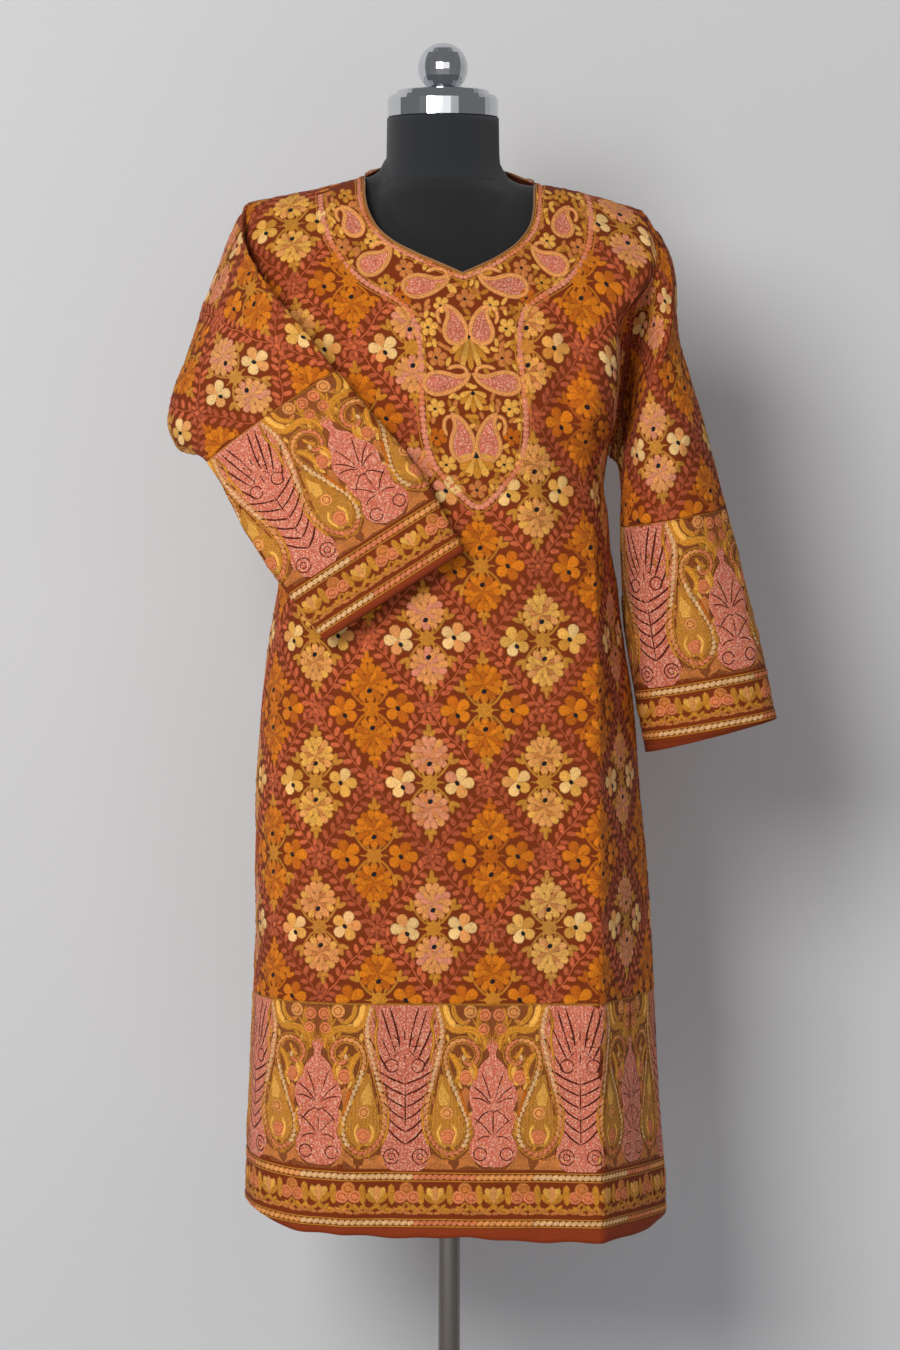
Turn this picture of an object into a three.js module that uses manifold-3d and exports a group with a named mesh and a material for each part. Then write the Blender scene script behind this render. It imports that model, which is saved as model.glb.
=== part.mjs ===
// An embroidered pheran, a long Kashmiri gown, worn by a limbless dress form on a stand.
// Millimetres, +Z up. The origin is the middle of the base plate's underside, on the floor.
// The garment's front faces -Y. One sleeve hangs at +X, the other lies across the front.
import * as THREE from "three";
import { mergeVertices } from "three/addons/utils/BufferGeometryUtils.js";
import Module from "manifold-3d";

const wasm = await Module();
wasm.setup();

// Cloth: one wall of stitched wool, and the gap between two pieces at a seam
const CLOTH = 1.5;
const SEAM_GAP = 0.4;
const LAY_GAP = 1.2;

// Heights that the whole garment hangs from
const UNDERARM = 1155;
const CAP_BASE = 1230;

// Panel grids: rows below and above the underarm, columns over a shoulder and along the neck
const SKIRT_ROWS = 21;
const ARM_ROWS = 11;
const SHOULDER_COLUMNS = 5;
const NECK_COLUMNS = 12;
const BACK_NECK_COLUMNS = 14;
const SLEEVE_ROWS = 13;

// The body's two sides: x of the side seam or the armhole, and y there of each panel's edge
const RIGHT_SIDE = [
  { z: 380, x: 219, front: 8, back: 8 },
  { z: 420, x: 218, front: 8, back: 8 },
  { z: 510, x: 211, front: 9, back: 9 },
  { z: 610, x: 206, front: 10, back: 10 },
  { z: 710, x: 201, front: 10, back: 10 },
  { z: 810, x: 192, front: 10, back: 10 },
  { z: 902, x: 184.5, front: 8, back: 8 },
  { z: 982, x: 172.5, front: 6, back: 6 },
  { z: 1028, x: 167, front: 5, back: 5 },
  { z: 1062, x: 160.5, front: 5, back: 5 },
  { z: 1097, x: 158, front: 5, back: 5 },
  { z: 1122, x: 154, front: 5, back: 5 },
  { z: UNDERARM, x: 158, front: 5, back: 5 },
  { z: 1189, x: 163, front: -58, back: 48 },
  { z: 1229, x: 166, front: -74, back: 60 },
  { z: 1284, x: 168, front: -75, back: 63 },
  { z: 1302, x: 181, front: -71, back: 62 },
  { z: 1320, x: 195, front: -67, back: 60 },
  { z: 1346, x: 204, front: -60, back: 56 },
  { z: 1366, x: 203, front: -50, back: 50 },
  { z: 1398, x: 191, front: -44, back: 44 },
];
const LEFT_SIDE = [
  { z: 380, x: -207, front: 24, back: 24 },
  { z: 420, x: -204, front: 24, back: 24 },
  { z: 500, x: -201, front: 23, back: 23 },
  { z: 560, x: -198, front: 22, back: 22 },
  { z: 700, x: -193, front: 20, back: 20 },
  { z: 800, x: -193, front: 17, back: 17 },
  { z: 880, x: -189, front: 14, back: 14 },
  { z: 960, x: -181, front: 10, back: 10 },
  { z: 1020, x: -171, front: 8, back: 8 },
  { z: 1090, x: -161, front: 6, back: 6 },
  { z: UNDERARM, x: -158, front: 5, back: 5 },
  { z: 1189, x: -163, front: -58, back: 48 },
  { z: 1229, x: -166, front: -74, back: 60 },
  { z: 1284, x: -171, front: -75, back: 63 },
  { z: 1320, x: -184, front: -68, back: 60 },
  { z: 1346, x: -196, front: -60, back: 56 },
  { z: 1368, x: -203, front: -50, back: 50 },
  { z: 1405, x: -199, front: -44, back: 44 },
];

// Depth of the middle of each panel, and how square its section is (2 is an ellipse)
const MIDDLE = [
  { z: 380, front: -130, back: 112, square: 4.2 },
  { z: 560, front: -127, back: 112, square: 3.9 },
  { z: 700, front: -125, back: 112, square: 3.5 },
  { z: 850, front: -123, back: 110, square: 3.1 },
  { z: 1010, front: -123, back: 101, square: 2.8 },
  { z: 1080, front: -125, back: 99, square: 2.6 },
  { z: UNDERARM, front: -127, back: 99, square: 2.5 },
  { z: 1210, front: -125, back: 101, square: 2.4 },
  { z: 1284, front: -117, back: 104, square: 2.4 },
  { z: 1337, front: -106, back: 105, square: 2.4 },
  { z: 1375, front: -98, back: 106, square: 2.4 },
  { z: 1440, front: -92, back: 106, square: 2.4 },
];

// The shoulder line, rising to the neck between the two neck points
const SHOULDER_LINE = [
  { x: -199, z: 1405 },
  { x: -83, z: 1432 },
  { x: -62, z: 1446 },
  { x: -30, z: 1472 },
  { x: -3, z: 1480 },
  { x: 27, z: 1470 },
  { x: 60, z: 1440 },
  { x: 82, z: 1424 },
  { x: 115, z: 1419 },
  { x: 191, z: 1398 },
];

// The front neckline: a deep scoop with a small notch, and the higher back one
const NECK_LEFT = [[-83, 1432], [-81.5, 1408], [-75, 1391], [-61, 1374], [-43, 1363], [-18.5, 1350], [13.7, 1337.5]];
const NECK_RIGHT = [[13.7, 1337.5], [40, 1348], [59.5, 1363], [74.5, 1382], [81, 1404], [82, 1424]];
const NECK_BACK = [[-83, 1432], [-64, 1440], [-30, 1438], [0, 1436], [28, 1437], [52, 1437], [82, 1424]];

// The hem, from the left side to the right side
const FRONT_HEM = [
  { across: -1, z: 418 },
  { across: -0.93, z: 412 },
  { across: -0.82, z: 403 },
  { across: -0.65, z: 395.5 },
  { across: 0, z: 391 },
  { across: 0.5, z: 386.5 },
  { across: 0.7, z: 384.5 },
  { across: 0.88, z: 385 },
  { across: 1, z: 393 },
];
const BACK_HEM = [
  { across: -1, z: 418 },
  { across: -0.7, z: 406 },
  { across: 0, z: 400 },
  { across: 0.7, z: 394 },
  { across: 1, z: 393 },
];

// The pressed crease that parts the skirt's flat front from its right side: how far the front
// has dropped back at it, and how much the right side bows
const CREASE_DROP = 0.03;
const CREASE_BOW = 0.8;
const CREASE = [
  { z: 380, x: 151, press: 1 },
  { z: 590, x: 149, press: 1 },
  { z: 850, x: 146, press: 0.9 },
  { z: 1033, x: 143, press: 0.7 },
  { z: 1100, x: 141, press: 0.2 },
  { z: 1150, x: 140, press: 0 },
];

// Large soft folds of the front: a ridge, or a trough where height is below zero.
// One that is open runs out through the hem at full height.
const FRONT_FOLDS = [
  { lowX: -103, lowZ: 380, highX: -96, highZ: 760, height: 4, width: 26, open: true },
  { lowX: -146, lowZ: 380, highX: -150, highZ: 900, height: 5, width: 18, open: true },
  { lowX: 122, lowZ: 1080, highX: 160, highZ: 1310, height: 8, width: 14, open: false },
  { lowX: 92, lowZ: 1100, highX: 132, highZ: 1330, height: -6, width: 14, open: false },
  { lowX: 52, lowZ: 930, highX: 108, highZ: 1210, height: 5, width: 20, open: false },
];

// The hanging sleeve: its outer line, its inner line under the arm, and its depth
const HANGING_SLEEVE = [
  { outX: 191, outZ: 1398, inX: 158, inZ: 1155, midY: -6, deep: 70 },
  { outX: 221, outZ: 1350, inX: 163, inZ: 1151, midY: 0, deep: 74 },
  { outX: 228, outZ: 1276, inX: 168, inZ: 1146, midY: 2, deep: 76 },
  { outX: 243, outZ: 1222, inX: 170.5, inZ: 1136, midY: 3, deep: 76 },
  { outX: 258, outZ: 1172, inX: 172, inZ: 1116, midY: 4, deep: 74 },
  { outX: 275, outZ: 1105, inX: 171.5, inZ: 1077, midY: 4, deep: 68 },
  { outX: 293.5, outZ: 1035, inX: 173.5, inZ: 1024, midY: 4, deep: 60 },
  { outX: 312, outZ: 962, inX: 180, inZ: 955, midY: 3, deep: 50 },
  { outX: 328, outZ: 892, inX: 196.5, inZ: 858, midY: 0, deep: 40 },
];

// The dark valley where the hanging sleeve drops in front of its armhole
const VALLEY = [
  { z: 1130, x: 166, depth: 0, width: 6 },
  { z: 1151, x: 168, depth: 20, width: 7 },
  { z: 1196, x: 177, depth: 42, width: 9 },
  { z: 1240, x: 182, depth: 40, width: 12 },
  { z: 1285, x: 190, depth: 14, width: 12 },
  { z: 1310, x: 196, depth: 0, width: 12 },
];

// The sleeve laid across the front, by the four lines that run along it from the armhole:
// its top line, its front fold, its under line next to the body, and its outer fold
const LAID_SLEEVE = [
  { top: [-199, 0, 1405], front: [-172, -71, 1285], under: [-158, 5, 1155], outer: [-176, 60, 1285] },
  { top: [-213, -34, 1368], front: [-176, -98, 1303], under: [-178, -50, 1168], outer: [-214, 42, 1262] },
  { top: [-226, -84, 1314], front: [-163, -119, 1294], under: [-188, -88, 1188], outer: [-246, 14, 1214] },
  { top: [-214, -130, 1256], front: [-143, -132, 1262], under: [-186, -110, 1196], outer: [-276, -36, 1160] },
  { top: [-166, -150, 1182], front: [-93, -139, 1216], under: [-160, -126, 1180], outer: [-233, -92, 1145] },
  { top: [-110, -157, 1100], front: [-27, -140, 1141], under: [-108, -133, 1100], outer: [-181, -128, 1060] },
  { top: [-54, -158, 1019], front: [15.5, -141, 1063], under: [-54, -137, 1017], outer: [-120, -137, 976] },
];

// The dress form: half widths and depths of its trunk, and its neck
const FORM_TRUNK = [
  { z: 740, wide: 158, front: 98, back: 102 },
  { z: 850, wide: 168, front: 104, back: 103 },
  { z: 940, wide: 150, front: 98, back: 90 },
  { z: 1010, wide: 132, front: 94, back: 82 },
  { z: 1110, wide: 140, front: 106, back: 84 },
  { z: 1210, wide: 148, front: 110, back: 90 },
  { z: 1284, wide: 152, front: 96, back: 92 },
  { z: 1337, wide: 160, front: 84, back: 92 },
  { z: 1440, wide: 168, front: 76, back: 90 },
];
const FORM_BOTTOM = 740;
const FORM_CAP_BASE = 1250;
const FORM_SHOULDER_DROP = CLOTH + 0.6;
const FORM_ARM_X = 168;
const FORM_ROUND_OFF = 22;
const FORM_RIDGE = 0.75;
const FORM_ROWS = 9;
const FORM_CAP_ROWS = 7;
const FORM_AROUND = 44;
const NECK_X = -6;
const NECK_Y = -4;
const NECK_RADIUS = 55.5;
const NECK_TOP = 1488;
const NECK_AROUND = 44;

// The stand: a steel pole with a collar and a round base, and the neck's cap with its ball
const POLE_RADIUS = 11;
const COLLAR_RADIUS = 26;
const COLLAR_HEIGHT = 34;
const BASE_RADIUS = 190;
const BASE_HEIGHT = 9;
const BOSS_RADIUS = 24;
const BOSS_HEIGHT = 22;
const CAP_RADIUS = 55;
const CAP_STEP_RADIUS = 47;
const CAP_STEP = 1510;
const CAP_TOP = 1516;
const BALL_RADIUS = 25;
const BALL_Z = 1538;
const BALL_STEPS = 11;
const TOUCH_GAP = 0.3;

const clothMaterial = new THREE.MeshStandardMaterial({ color: 0x7c3620, roughness: 0.85, metalness: 0 });
const bindingMaterial = new THREE.MeshStandardMaterial({ color: 0x9a6a3c, roughness: 0.8, metalness: 0 });
const formMaterial = new THREE.MeshStandardMaterial({ color: 0x1b1c20, roughness: 0.95, metalness: 0 });
const chromeMaterial = new THREE.MeshStandardMaterial({ color: 0xc8cace, roughness: 0.15, metalness: 1 });
const steelMaterial = new THREE.MeshStandardMaterial({ color: 0x9a9da1, roughness: 0.35, metalness: 1 });

const lerp = THREE.MathUtils.lerp;
const clamp = THREE.MathUtils.clamp;

// A smooth curve through a table's rows that never swings past them
function track(table, key, value) {
  const at = table.map((row) => row[key]);
  const to = table.map((row) => row[value]);
  const last = at.length - 1;
  const rise = at.slice(1).map((next, i) => (to[i + 1] - to[i]) / (next - at[i]));
  const slope = at.map((unused, i) => {
    const before = rise[Math.max(i - 1, 0)];
    const after = rise[Math.min(i, last - 1)];
    return before * after > 0 ? (2 * before * after) / (before + after) : 0;
  });
  return (where) => {
    const w = clamp(where, at[0], at[last]);
    let i = 0;
    while (i < last - 1 && w > at[i + 1]) i += 1;
    const span = at[i + 1] - at[i];
    const t = (w - at[i]) / span;
    const keepStart = (1 + 2 * t) * (1 - t) * (1 - t);
    const leave = t * (1 - t) * (1 - t) * span;
    const keepEnd = t * t * (3 - 2 * t);
    const arrive = t * t * (t - 1) * span;
    return keepStart * to[i] + leave * slope[i] + keepEnd * to[i + 1] + arrive * slope[i + 1];
  };
}

const side = {
  left: { x: track(LEFT_SIDE, "z", "x"), front: track(LEFT_SIDE, "z", "front"), back: track(LEFT_SIDE, "z", "back") },
  right: { x: track(RIGHT_SIDE, "z", "x"), front: track(RIGHT_SIDE, "z", "front"), back: track(RIGHT_SIDE, "z", "back") },
};
const middle = { front: track(MIDDLE, "z", "front"), back: track(MIDDLE, "z", "back") };
const squareAt = track(MIDDLE, "z", "square");
const shoulderAt = track(SHOULDER_LINE, "x", "z");
const frontHem = track(FRONT_HEM, "across", "z");
const backHem = track(BACK_HEM, "across", "z");
const crease = { x: track(CREASE, "z", "x"), press: track(CREASE, "z", "press") };
const valley = { x: track(VALLEY, "z", "x"), depth: track(VALLEY, "z", "depth"), width: track(VALLEY, "z", "width") };

// Turns a height and an x into the share of the way across, from -1 at the left to +1
function acrossAt(x, z) {
  return (2 * (x - side.left.x(z))) / (side.right.x(z) - side.left.x(z)) - 1;
}

// How far a section has risen from its side to its full depth, 0 to 1
function sectionRise(across, z, face) {
  const power = squareAt(z);
  const round = Math.pow(Math.max(0, 1 - Math.pow(Math.abs(across), power)), 1 / power);
  const press = face === "front" ? crease.press(z) : 0;
  const edge = acrossAt(crease.x(z), z);
  if (press === 0 || across < 0) return round;
  const beyond = Math.max(0, (1 - across) / (1 - edge));
  const facets = across < edge ? 1 - CREASE_DROP * (across / edge) : (1 - CREASE_DROP) * Math.pow(beyond, CREASE_BOW);
  return lerp(round, facets, press);
}

// How far the front's soft folds stand out at a point
function foldHeight(x, z) {
  let height = 0;
  for (const fold of FRONT_FOLDS) {
    const share = clamp((z - fold.lowZ) / (fold.highZ - fold.lowZ), 0, 1);
    const line = lerp(fold.lowX, fold.highX, share);
    const fade = fold.open ? Math.cos((Math.PI / 2) * share) : Math.sin(Math.PI * share);
    height += fold.height * fade * Math.exp(-Math.pow((x - line) / fold.width, 2));
  }
  return height;
}

// A point of the body's outer surface, on its front or back face
function bodyPoint(across, z, face) {
  const share = (across + 1) / 2;
  const x = lerp(side.left.x(z), side.right.x(z), share);
  const edge = lerp(side.left[face](z), side.right[face](z), share);
  let y = lerp(edge, middle[face](z), sectionRise(across, z, face));
  if (face === "front") y -= foldHeight(x, z) * (1 - Math.pow(Math.abs(across), 6));
  if (z > CAP_BASE) {
    const climb = clamp((z - CAP_BASE) / (shoulderAt(x) - CAP_BASE), 0, 1);
    y *= Math.sqrt(1 - climb * climb);
  }
  return new THREE.Vector3(x, y, z);
}

// Even steps along a typical section, so that the columns turn its corners well
function evenColumns(count) {
  const fine = 400;
  const power = 3.2;
  const lengths = [0];
  const places = [-1];
  for (let i = 1; i <= fine; i += 1) {
    const a = -Math.cos((Math.PI * (i - 1)) / fine);
    const b = -Math.cos((Math.PI * i) / fine);
    const riseA = Math.pow(1 - Math.pow(Math.abs(a), power), 1 / power);
    const riseB = Math.pow(Math.max(0, 1 - Math.pow(Math.abs(b), power)), 1 / power);
    lengths.push(lengths[i - 1] + Math.hypot(1.5 * (b - a), riseB - riseA));
    places.push(b);
  }
  const columns = [];
  for (let i = 0; i <= count; i += 1) {
    const goal = (lengths[fine] * i) / count;
    let k = 1;
    while (k < fine && lengths[k] < goal) k += 1;
    const part = (goal - lengths[k - 1]) / (lengths[k] - lengths[k - 1]);
    columns.push(lerp(places[k - 1], places[k], part));
  }
  return columns;
}

// Evenly spaced points of a smooth line through outline points
function alongOutline(points, count) {
  const line = new THREE.CatmullRomCurve3(points.map(([x, z]) => new THREE.Vector3(x, 0, z)));
  return line.getSpacedPoints(count);
}

// The panel's top edge: a shoulder, the neckline and the other shoulder
function topEdge(neckline) {
  const first = neckline[0];
  const end = neckline[neckline.length - 1];
  const tipLeft = SHOULDER_LINE[0];
  const tipRight = SHOULDER_LINE[SHOULDER_LINE.length - 1];
  const edge = [];
  for (let i = 0; i < SHOULDER_COLUMNS; i += 1) {
    const x = lerp(tipLeft.x, first.x, i / SHOULDER_COLUMNS);
    edge.push({ x, z: shoulderAt(x) });
  }
  edge.push(...neckline.map((point) => ({ x: point.x, z: point.z })));
  for (let i = 1; i <= SHOULDER_COLUMNS; i += 1) {
    const x = lerp(end.x, tipRight.x, i / SHOULDER_COLUMNS);
    edge.push({ x, z: shoulderAt(x) });
  }
  return edge;
}

// A panel's outer points, rows from the hem to the top edge, columns from left to right
function panelGrid(face, edge, hemAt) {
  const columns = evenColumns(edge.length - 1);
  const rows = SKIRT_ROWS + ARM_ROWS;
  const shift = face === "front" ? -SEAM_GAP / 2 : SEAM_GAP / 2;
  const grid = [];
  for (let j = 0; j <= rows; j += 1) {
    const row = edge.map((top, i) => {
      const low = columns[i];
      const atEnd = i === 0 || i === edge.length - 1;
      const high = atEnd ? low : acrossAt(top.x, top.z);
      const upper = j - SKIRT_ROWS;
      const z = upper <= 0
        ? lerp(hemAt(low), UNDERARM, j / SKIRT_ROWS)
        : lerp(UNDERARM, top.z, Math.sin((Math.PI / 2) * (upper / ARM_ROWS)));
      const across = lerp(low, high, THREE.MathUtils.smoothstep(j / rows, 0.35, 1));
      const point = bodyPoint(across, z, face);
      point.y += shift;
      return point;
    });
    grid.push(face === "front" ? row : row.reverse());
  }
  return grid;
}

// Unit normals of a grid of points, facing the outside of the cloth
function gridNormals(grid, around) {
  const rows = grid.length;
  const columns = grid[0].length;
  return grid.map((row, j) => row.map((point, i) => {
    const before = around ? row[(i + columns - 1) % columns] : row[Math.max(i - 1, 0)];
    const after = around ? row[(i + 1) % columns] : row[Math.min(i + 1, columns - 1)];
    const below = grid[Math.max(j - 1, 0)][i];
    const above = grid[Math.min(j + 1, rows - 1)][i];
    const over = new THREE.Vector3().subVectors(after, before);
    const up = new THREE.Vector3().subVectors(above, below);
    return over.cross(up).normalize();
  }));
}

// Gives the two panels one shared normal wherever their edges meet, at the sides and shoulders
function matchSeams(frontRows, backRows) {
  const top = SKIRT_ROWS + ARM_ROWS;
  const frontEnd = frontRows[0].length - 1;
  const backEnd = backRows[0].length - 1;
  const share = (row, i, k) => {
    const both = frontRows[row][i].clone().add(backRows[row][k]).normalize();
    frontRows[row][i].copy(both);
    backRows[row][k].copy(both);
  };
  for (let j = 0; j <= SKIRT_ROWS; j += 1) {
    share(j, 0, backEnd);
    share(j, frontEnd, 0);
  }
  for (let i = 0; i <= SHOULDER_COLUMNS; i += 1) {
    share(top, i, backEnd - i);
    share(top, frontEnd - i, i);
  }
}

// The inner side of a wall, one cloth thickness behind its outer points
function innerGrid(grid, normals) {
  return grid.map((row, j) => row.map((point, i) => point.clone().addScaledVector(normals[j][i], -CLOTH)));
}

// A closed body between an outer and an inner grid, with rims along its free edges
function wallGeometry(outer, inner, around) {
  const rows = outer.length;
  const columns = outer[0].length;
  const positions = [];
  for (const grid of [outer, inner]) {
    for (const row of grid) for (const point of row) positions.push(point.x, point.y, point.z);
  }
  const faces = [];
  const skin = (j, i) => j * columns + (i % columns);
  const lining = (j, i) => rows * columns + skin(j, i);
  const quad = (a, b, c, d) => faces.push(a, b, c, a, c, d);
  const spans = around ? columns : columns - 1;
  for (let j = 0; j < rows - 1; j += 1) {
    for (let i = 0; i < spans; i += 1) {
      quad(skin(j, i), skin(j, i + 1), skin(j + 1, i + 1), skin(j + 1, i));
      quad(lining(j, i), lining(j + 1, i), lining(j + 1, i + 1), lining(j, i + 1));
    }
  }
  for (let i = 0; i < spans; i += 1) {
    quad(skin(0, i), lining(0, i), lining(0, i + 1), skin(0, i + 1));
    quad(skin(rows - 1, i), skin(rows - 1, i + 1), lining(rows - 1, i + 1), lining(rows - 1, i));
  }
  if (!around) {
    for (let j = 0; j < rows - 1; j += 1) {
      quad(skin(j, 0), skin(j + 1, 0), lining(j + 1, 0), lining(j, 0));
      quad(skin(j, columns - 1), lining(j, columns - 1), lining(j + 1, columns - 1), skin(j + 1, columns - 1));
    }
  }
  const geometry = new THREE.BufferGeometry();
  geometry.setAttribute("position", new THREE.Float32BufferAttribute(positions, 3));
  geometry.setIndex(faces);
  return geometry;
}

// The armhole's loop, from the shoulder tip down the front, under the arm and up the back,
// carried on past the panels' edges by a seam's gap, with the way that leads off the panels
function armhole(isRight) {
  const frontColumn = isRight ? frontOuter[0].length - 1 : 0;
  const backColumn = isRight ? 0 : backOuter[0].length - 1;
  const top = SKIRT_ROWS + ARM_ROWS;
  const middleOf = (a, b) => a.clone().add(b).multiplyScalar(0.5);
  const frontAt = (j) => ({ at: frontOuter[j][frontColumn], normal: frontNormals[j][frontColumn] });
  const backAt = (j) => ({ at: backOuter[j][backColumn], normal: backNormals[j][backColumn] });
  const bothAt = (j) => ({
    at: middleOf(frontAt(j).at, backAt(j).at),
    normal: frontAt(j).normal.clone().add(backAt(j).normal).normalize(),
  });
  const corners = [bothAt(top)];
  for (let j = top - 1; j > SKIRT_ROWS; j -= 1) corners.push(frontAt(j));
  corners.push(bothAt(SKIRT_ROWS));
  for (let j = SKIRT_ROWS + 1; j < top; j += 1) corners.push(backAt(j));
  const ways = corners.map(({ normal }, i) => {
    const next = corners[(i + 1) % corners.length].at;
    const before = corners[(i + corners.length - 1) % corners.length].at;
    const way = normal.clone().cross(next.clone().sub(before)).normalize();
    return isRight ? way : way.negate();
  });
  const moved = corners.map(({ at }, i) => at.clone().addScaledVector(ways[i], SEAM_GAP));
  const points = [];
  const outward = [];
  moved.forEach((corner, i) => {
    const after = (i + 1) % moved.length;
    points.push(corner, middleOf(corner, moved[after]));
    outward.push(ways[i], middleOf(ways[i], ways[after]).normalize());
  });
  return { points, outward };
}

// An oval ring through four points: top, front, under and back
function ovalRing(top, front, under, back, power, count) {
  const centre = top.clone().add(under).add(front).add(back).multiplyScalar(0.25);
  const tall = top.clone().sub(under).multiplyScalar(0.5);
  const deep = front.clone().sub(back).multiplyScalar(0.5);
  const ring = [];
  for (let i = 0; i < count; i += 1) {
    const angle = (2 * Math.PI * i) / count;
    const c = Math.sign(Math.cos(angle)) * Math.pow(Math.abs(Math.cos(angle)), 2 / power);
    const s = Math.sign(Math.sin(angle)) * Math.pow(Math.abs(Math.sin(angle)), 2 / power);
    ring.push(centre.clone().addScaledVector(tall, c).addScaledVector(deep, s));
  }
  return ring;
}

// The outer points of a sleeve that leaves its armhole loop and follows its rings
function sleeveGrid(loop, rings) {
  const blend = [1, 0.62, 0.28, 0.08];
  const knots = rings.map((ring, k) => ring.map((point, i) => {
    const pull = blend[k] ?? 0;
    const offset = loop[i].clone().sub(rings[0][i]);
    return point.clone().addScaledVector(offset, pull);
  }));
  const lines = loop.map((unused, i) => new THREE.CatmullRomCurve3(knots.map((ring) => ring[i]), false, "catmullrom", 0.5));
  const grid = [];
  for (let j = 0; j <= SLEEVE_ROWS; j += 1) grid.push(lines.map((line) => line.getPoint(j / SLEEVE_ROWS)));
  return grid;
}

// A sleeve's closed wall; its first row's thickness never leans back into the panels
function sleeveWall(grid, outward, isRight) {
  const turn = (row) => (isRight ? row : [row[0], ...row.slice(1).reverse()]);
  const outer = grid.map(turn);
  const normals = gridNormals(outer, true);
  turn(outward).forEach((way, i) => {
    const lean = normals[0][i].dot(way);
    if (lean > 0) normals[0][i].addScaledVector(way, -lean).normalize();
  });
  return wallGeometry(outer, innerGrid(outer, normals), true);
}

// Panels
const frontNeck = [...alongOutline(NECK_LEFT, NECK_COLUMNS), ...alongOutline(NECK_RIGHT, NECK_COLUMNS).slice(1)];
const backNeck = alongOutline(NECK_BACK, BACK_NECK_COLUMNS);
const frontOuter = panelGrid("front", topEdge(frontNeck), frontHem);
const backOuter = panelGrid("back", topEdge(backNeck), backHem);
const frontNormals = gridNormals(frontOuter, false);
const backNormals = gridNormals(backOuter, false);
matchSeams(frontNormals, backNormals);
const frontInner = innerGrid(frontOuter, frontNormals);
const backInner = innerGrid(backOuter, backNormals);

// Neck binding: a narrow folded strip that carries each panel on past its neck edge
function neckBinding() {
  const width = 3.5;
  const proud = 0.4;
  const top = frontOuter.length - 1;
  const firstColumn = SHOULDER_COLUMNS;
  const edge = [];
  for (let i = 0; i <= 2 * NECK_COLUMNS; i += 1) {
    edge.push({ at: frontOuter[top][firstColumn + i], out: frontNormals[top][firstColumn + i] });
  }
  for (let i = 1; i < BACK_NECK_COLUMNS; i += 1) {
    edge.push({ at: backOuter[top][firstColumn + i], out: backNormals[top][firstColumn + i] });
  }
  const ring = [[], [], [], []];
  edge.forEach(({ at, out }, i) => {
    const next = edge[(i + 1) % edge.length].at;
    const before = edge[(i + edge.length - 1) % edge.length].at;
    const along = next.clone().sub(before).normalize();
    const inward = out.clone().cross(along).normalize();
    const base = at.clone().addScaledVector(inward, SEAM_GAP);
    ring[0].push(base.clone().addScaledVector(out, proud));
    ring[1].push(base.clone().addScaledVector(inward, width).addScaledVector(out, proud));
    ring[2].push(base.clone().addScaledVector(inward, width).addScaledVector(out, -CLOTH));
    ring[3].push(base.clone().addScaledVector(out, -CLOTH));
  });
  return wallGeometry([ring[0], ring[1]], [ring[3], ring[2]], true);
}

// The hanging sleeve's rings
function hangingRings(count) {
  return HANGING_SLEEVE.map((row) => {
    const midX = (row.outX + row.inX) / 2;
    const midZ = (row.outZ + row.inZ) / 2;
    const top = new THREE.Vector3(row.outX, row.midY, row.outZ);
    const under = new THREE.Vector3(row.inX, row.midY, row.inZ);
    const front = new THREE.Vector3(midX, row.midY - row.deep, midZ);
    const back = new THREE.Vector3(midX, row.midY + row.deep, midZ);
    return ovalRing(top, front, under, back, 2.1, count);
  });
}

// The laid sleeve's rings, flatter and flatter towards the cuff
function laidRings(count) {
  return LAID_SLEEVE.map((row, k) => {
    const points = [row.top, row.front, row.under, row.outer].map(([x, y, z]) => new THREE.Vector3(x, y, z));
    return ovalRing(...points, k < 3 ? 2.1 : 2.6, count);
  });
}

// Sinks the valley into the front of the hanging sleeve
function sinkValley(point) {
  if (point.y > 0 || point.z < VALLEY[0].z || point.z > VALLEY[VALLEY.length - 1].z) return;
  const off = (point.x - valley.x(point.z)) / valley.width(point.z);
  point.y += Math.min(valley.depth(point.z), -point.y) * Math.exp(-off * off);
}

// Lays a point of the sleeve just clear of the front panel
function layOnFront(point) {
  const across = acrossAt(point.x, point.z);
  if (Math.abs(across) >= 1) return;
  const reach = bodyPoint(across, point.z, "front").y - LAY_GAP;
  point.y = Math.min(point.y, reach);
}

// Keeps a sleeve's point beside its armhole out of the body
function keepBeside(point) {
  const across = acrossAt(point.x, point.z);
  if (Math.abs(across) >= 1.03) return;
  const inside = clamp(across, -1, 1);
  const before = bodyPoint(inside, point.z, "front").y - LAY_GAP - CLOTH;
  const behind = bodyPoint(inside, point.z, "back").y + LAY_GAP + CLOTH;
  if (point.y < before || point.y > behind) return;
  const out = SEAM_GAP + CLOTH + LAY_GAP;
  point.x = across > 0 ? side.right.x(point.z) + out : side.left.x(point.z) - out;
}

const rightArmhole = armhole(true);
const leftArmhole = armhole(false);
const hanging = sleeveGrid(rightArmhole.points, hangingRings(rightArmhole.points.length));
const laid = sleeveGrid(leftArmhole.points, laidRings(leftArmhole.points.length));
hanging.slice(1).forEach((row) => row.forEach(sinkValley));
hanging.slice(1).forEach((row) => row.forEach(keepBeside));
laid.slice(1, 5).forEach((row) => row.forEach(keepBeside));
laid.slice(5).forEach((row) => row.forEach(layOnFront));

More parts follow.
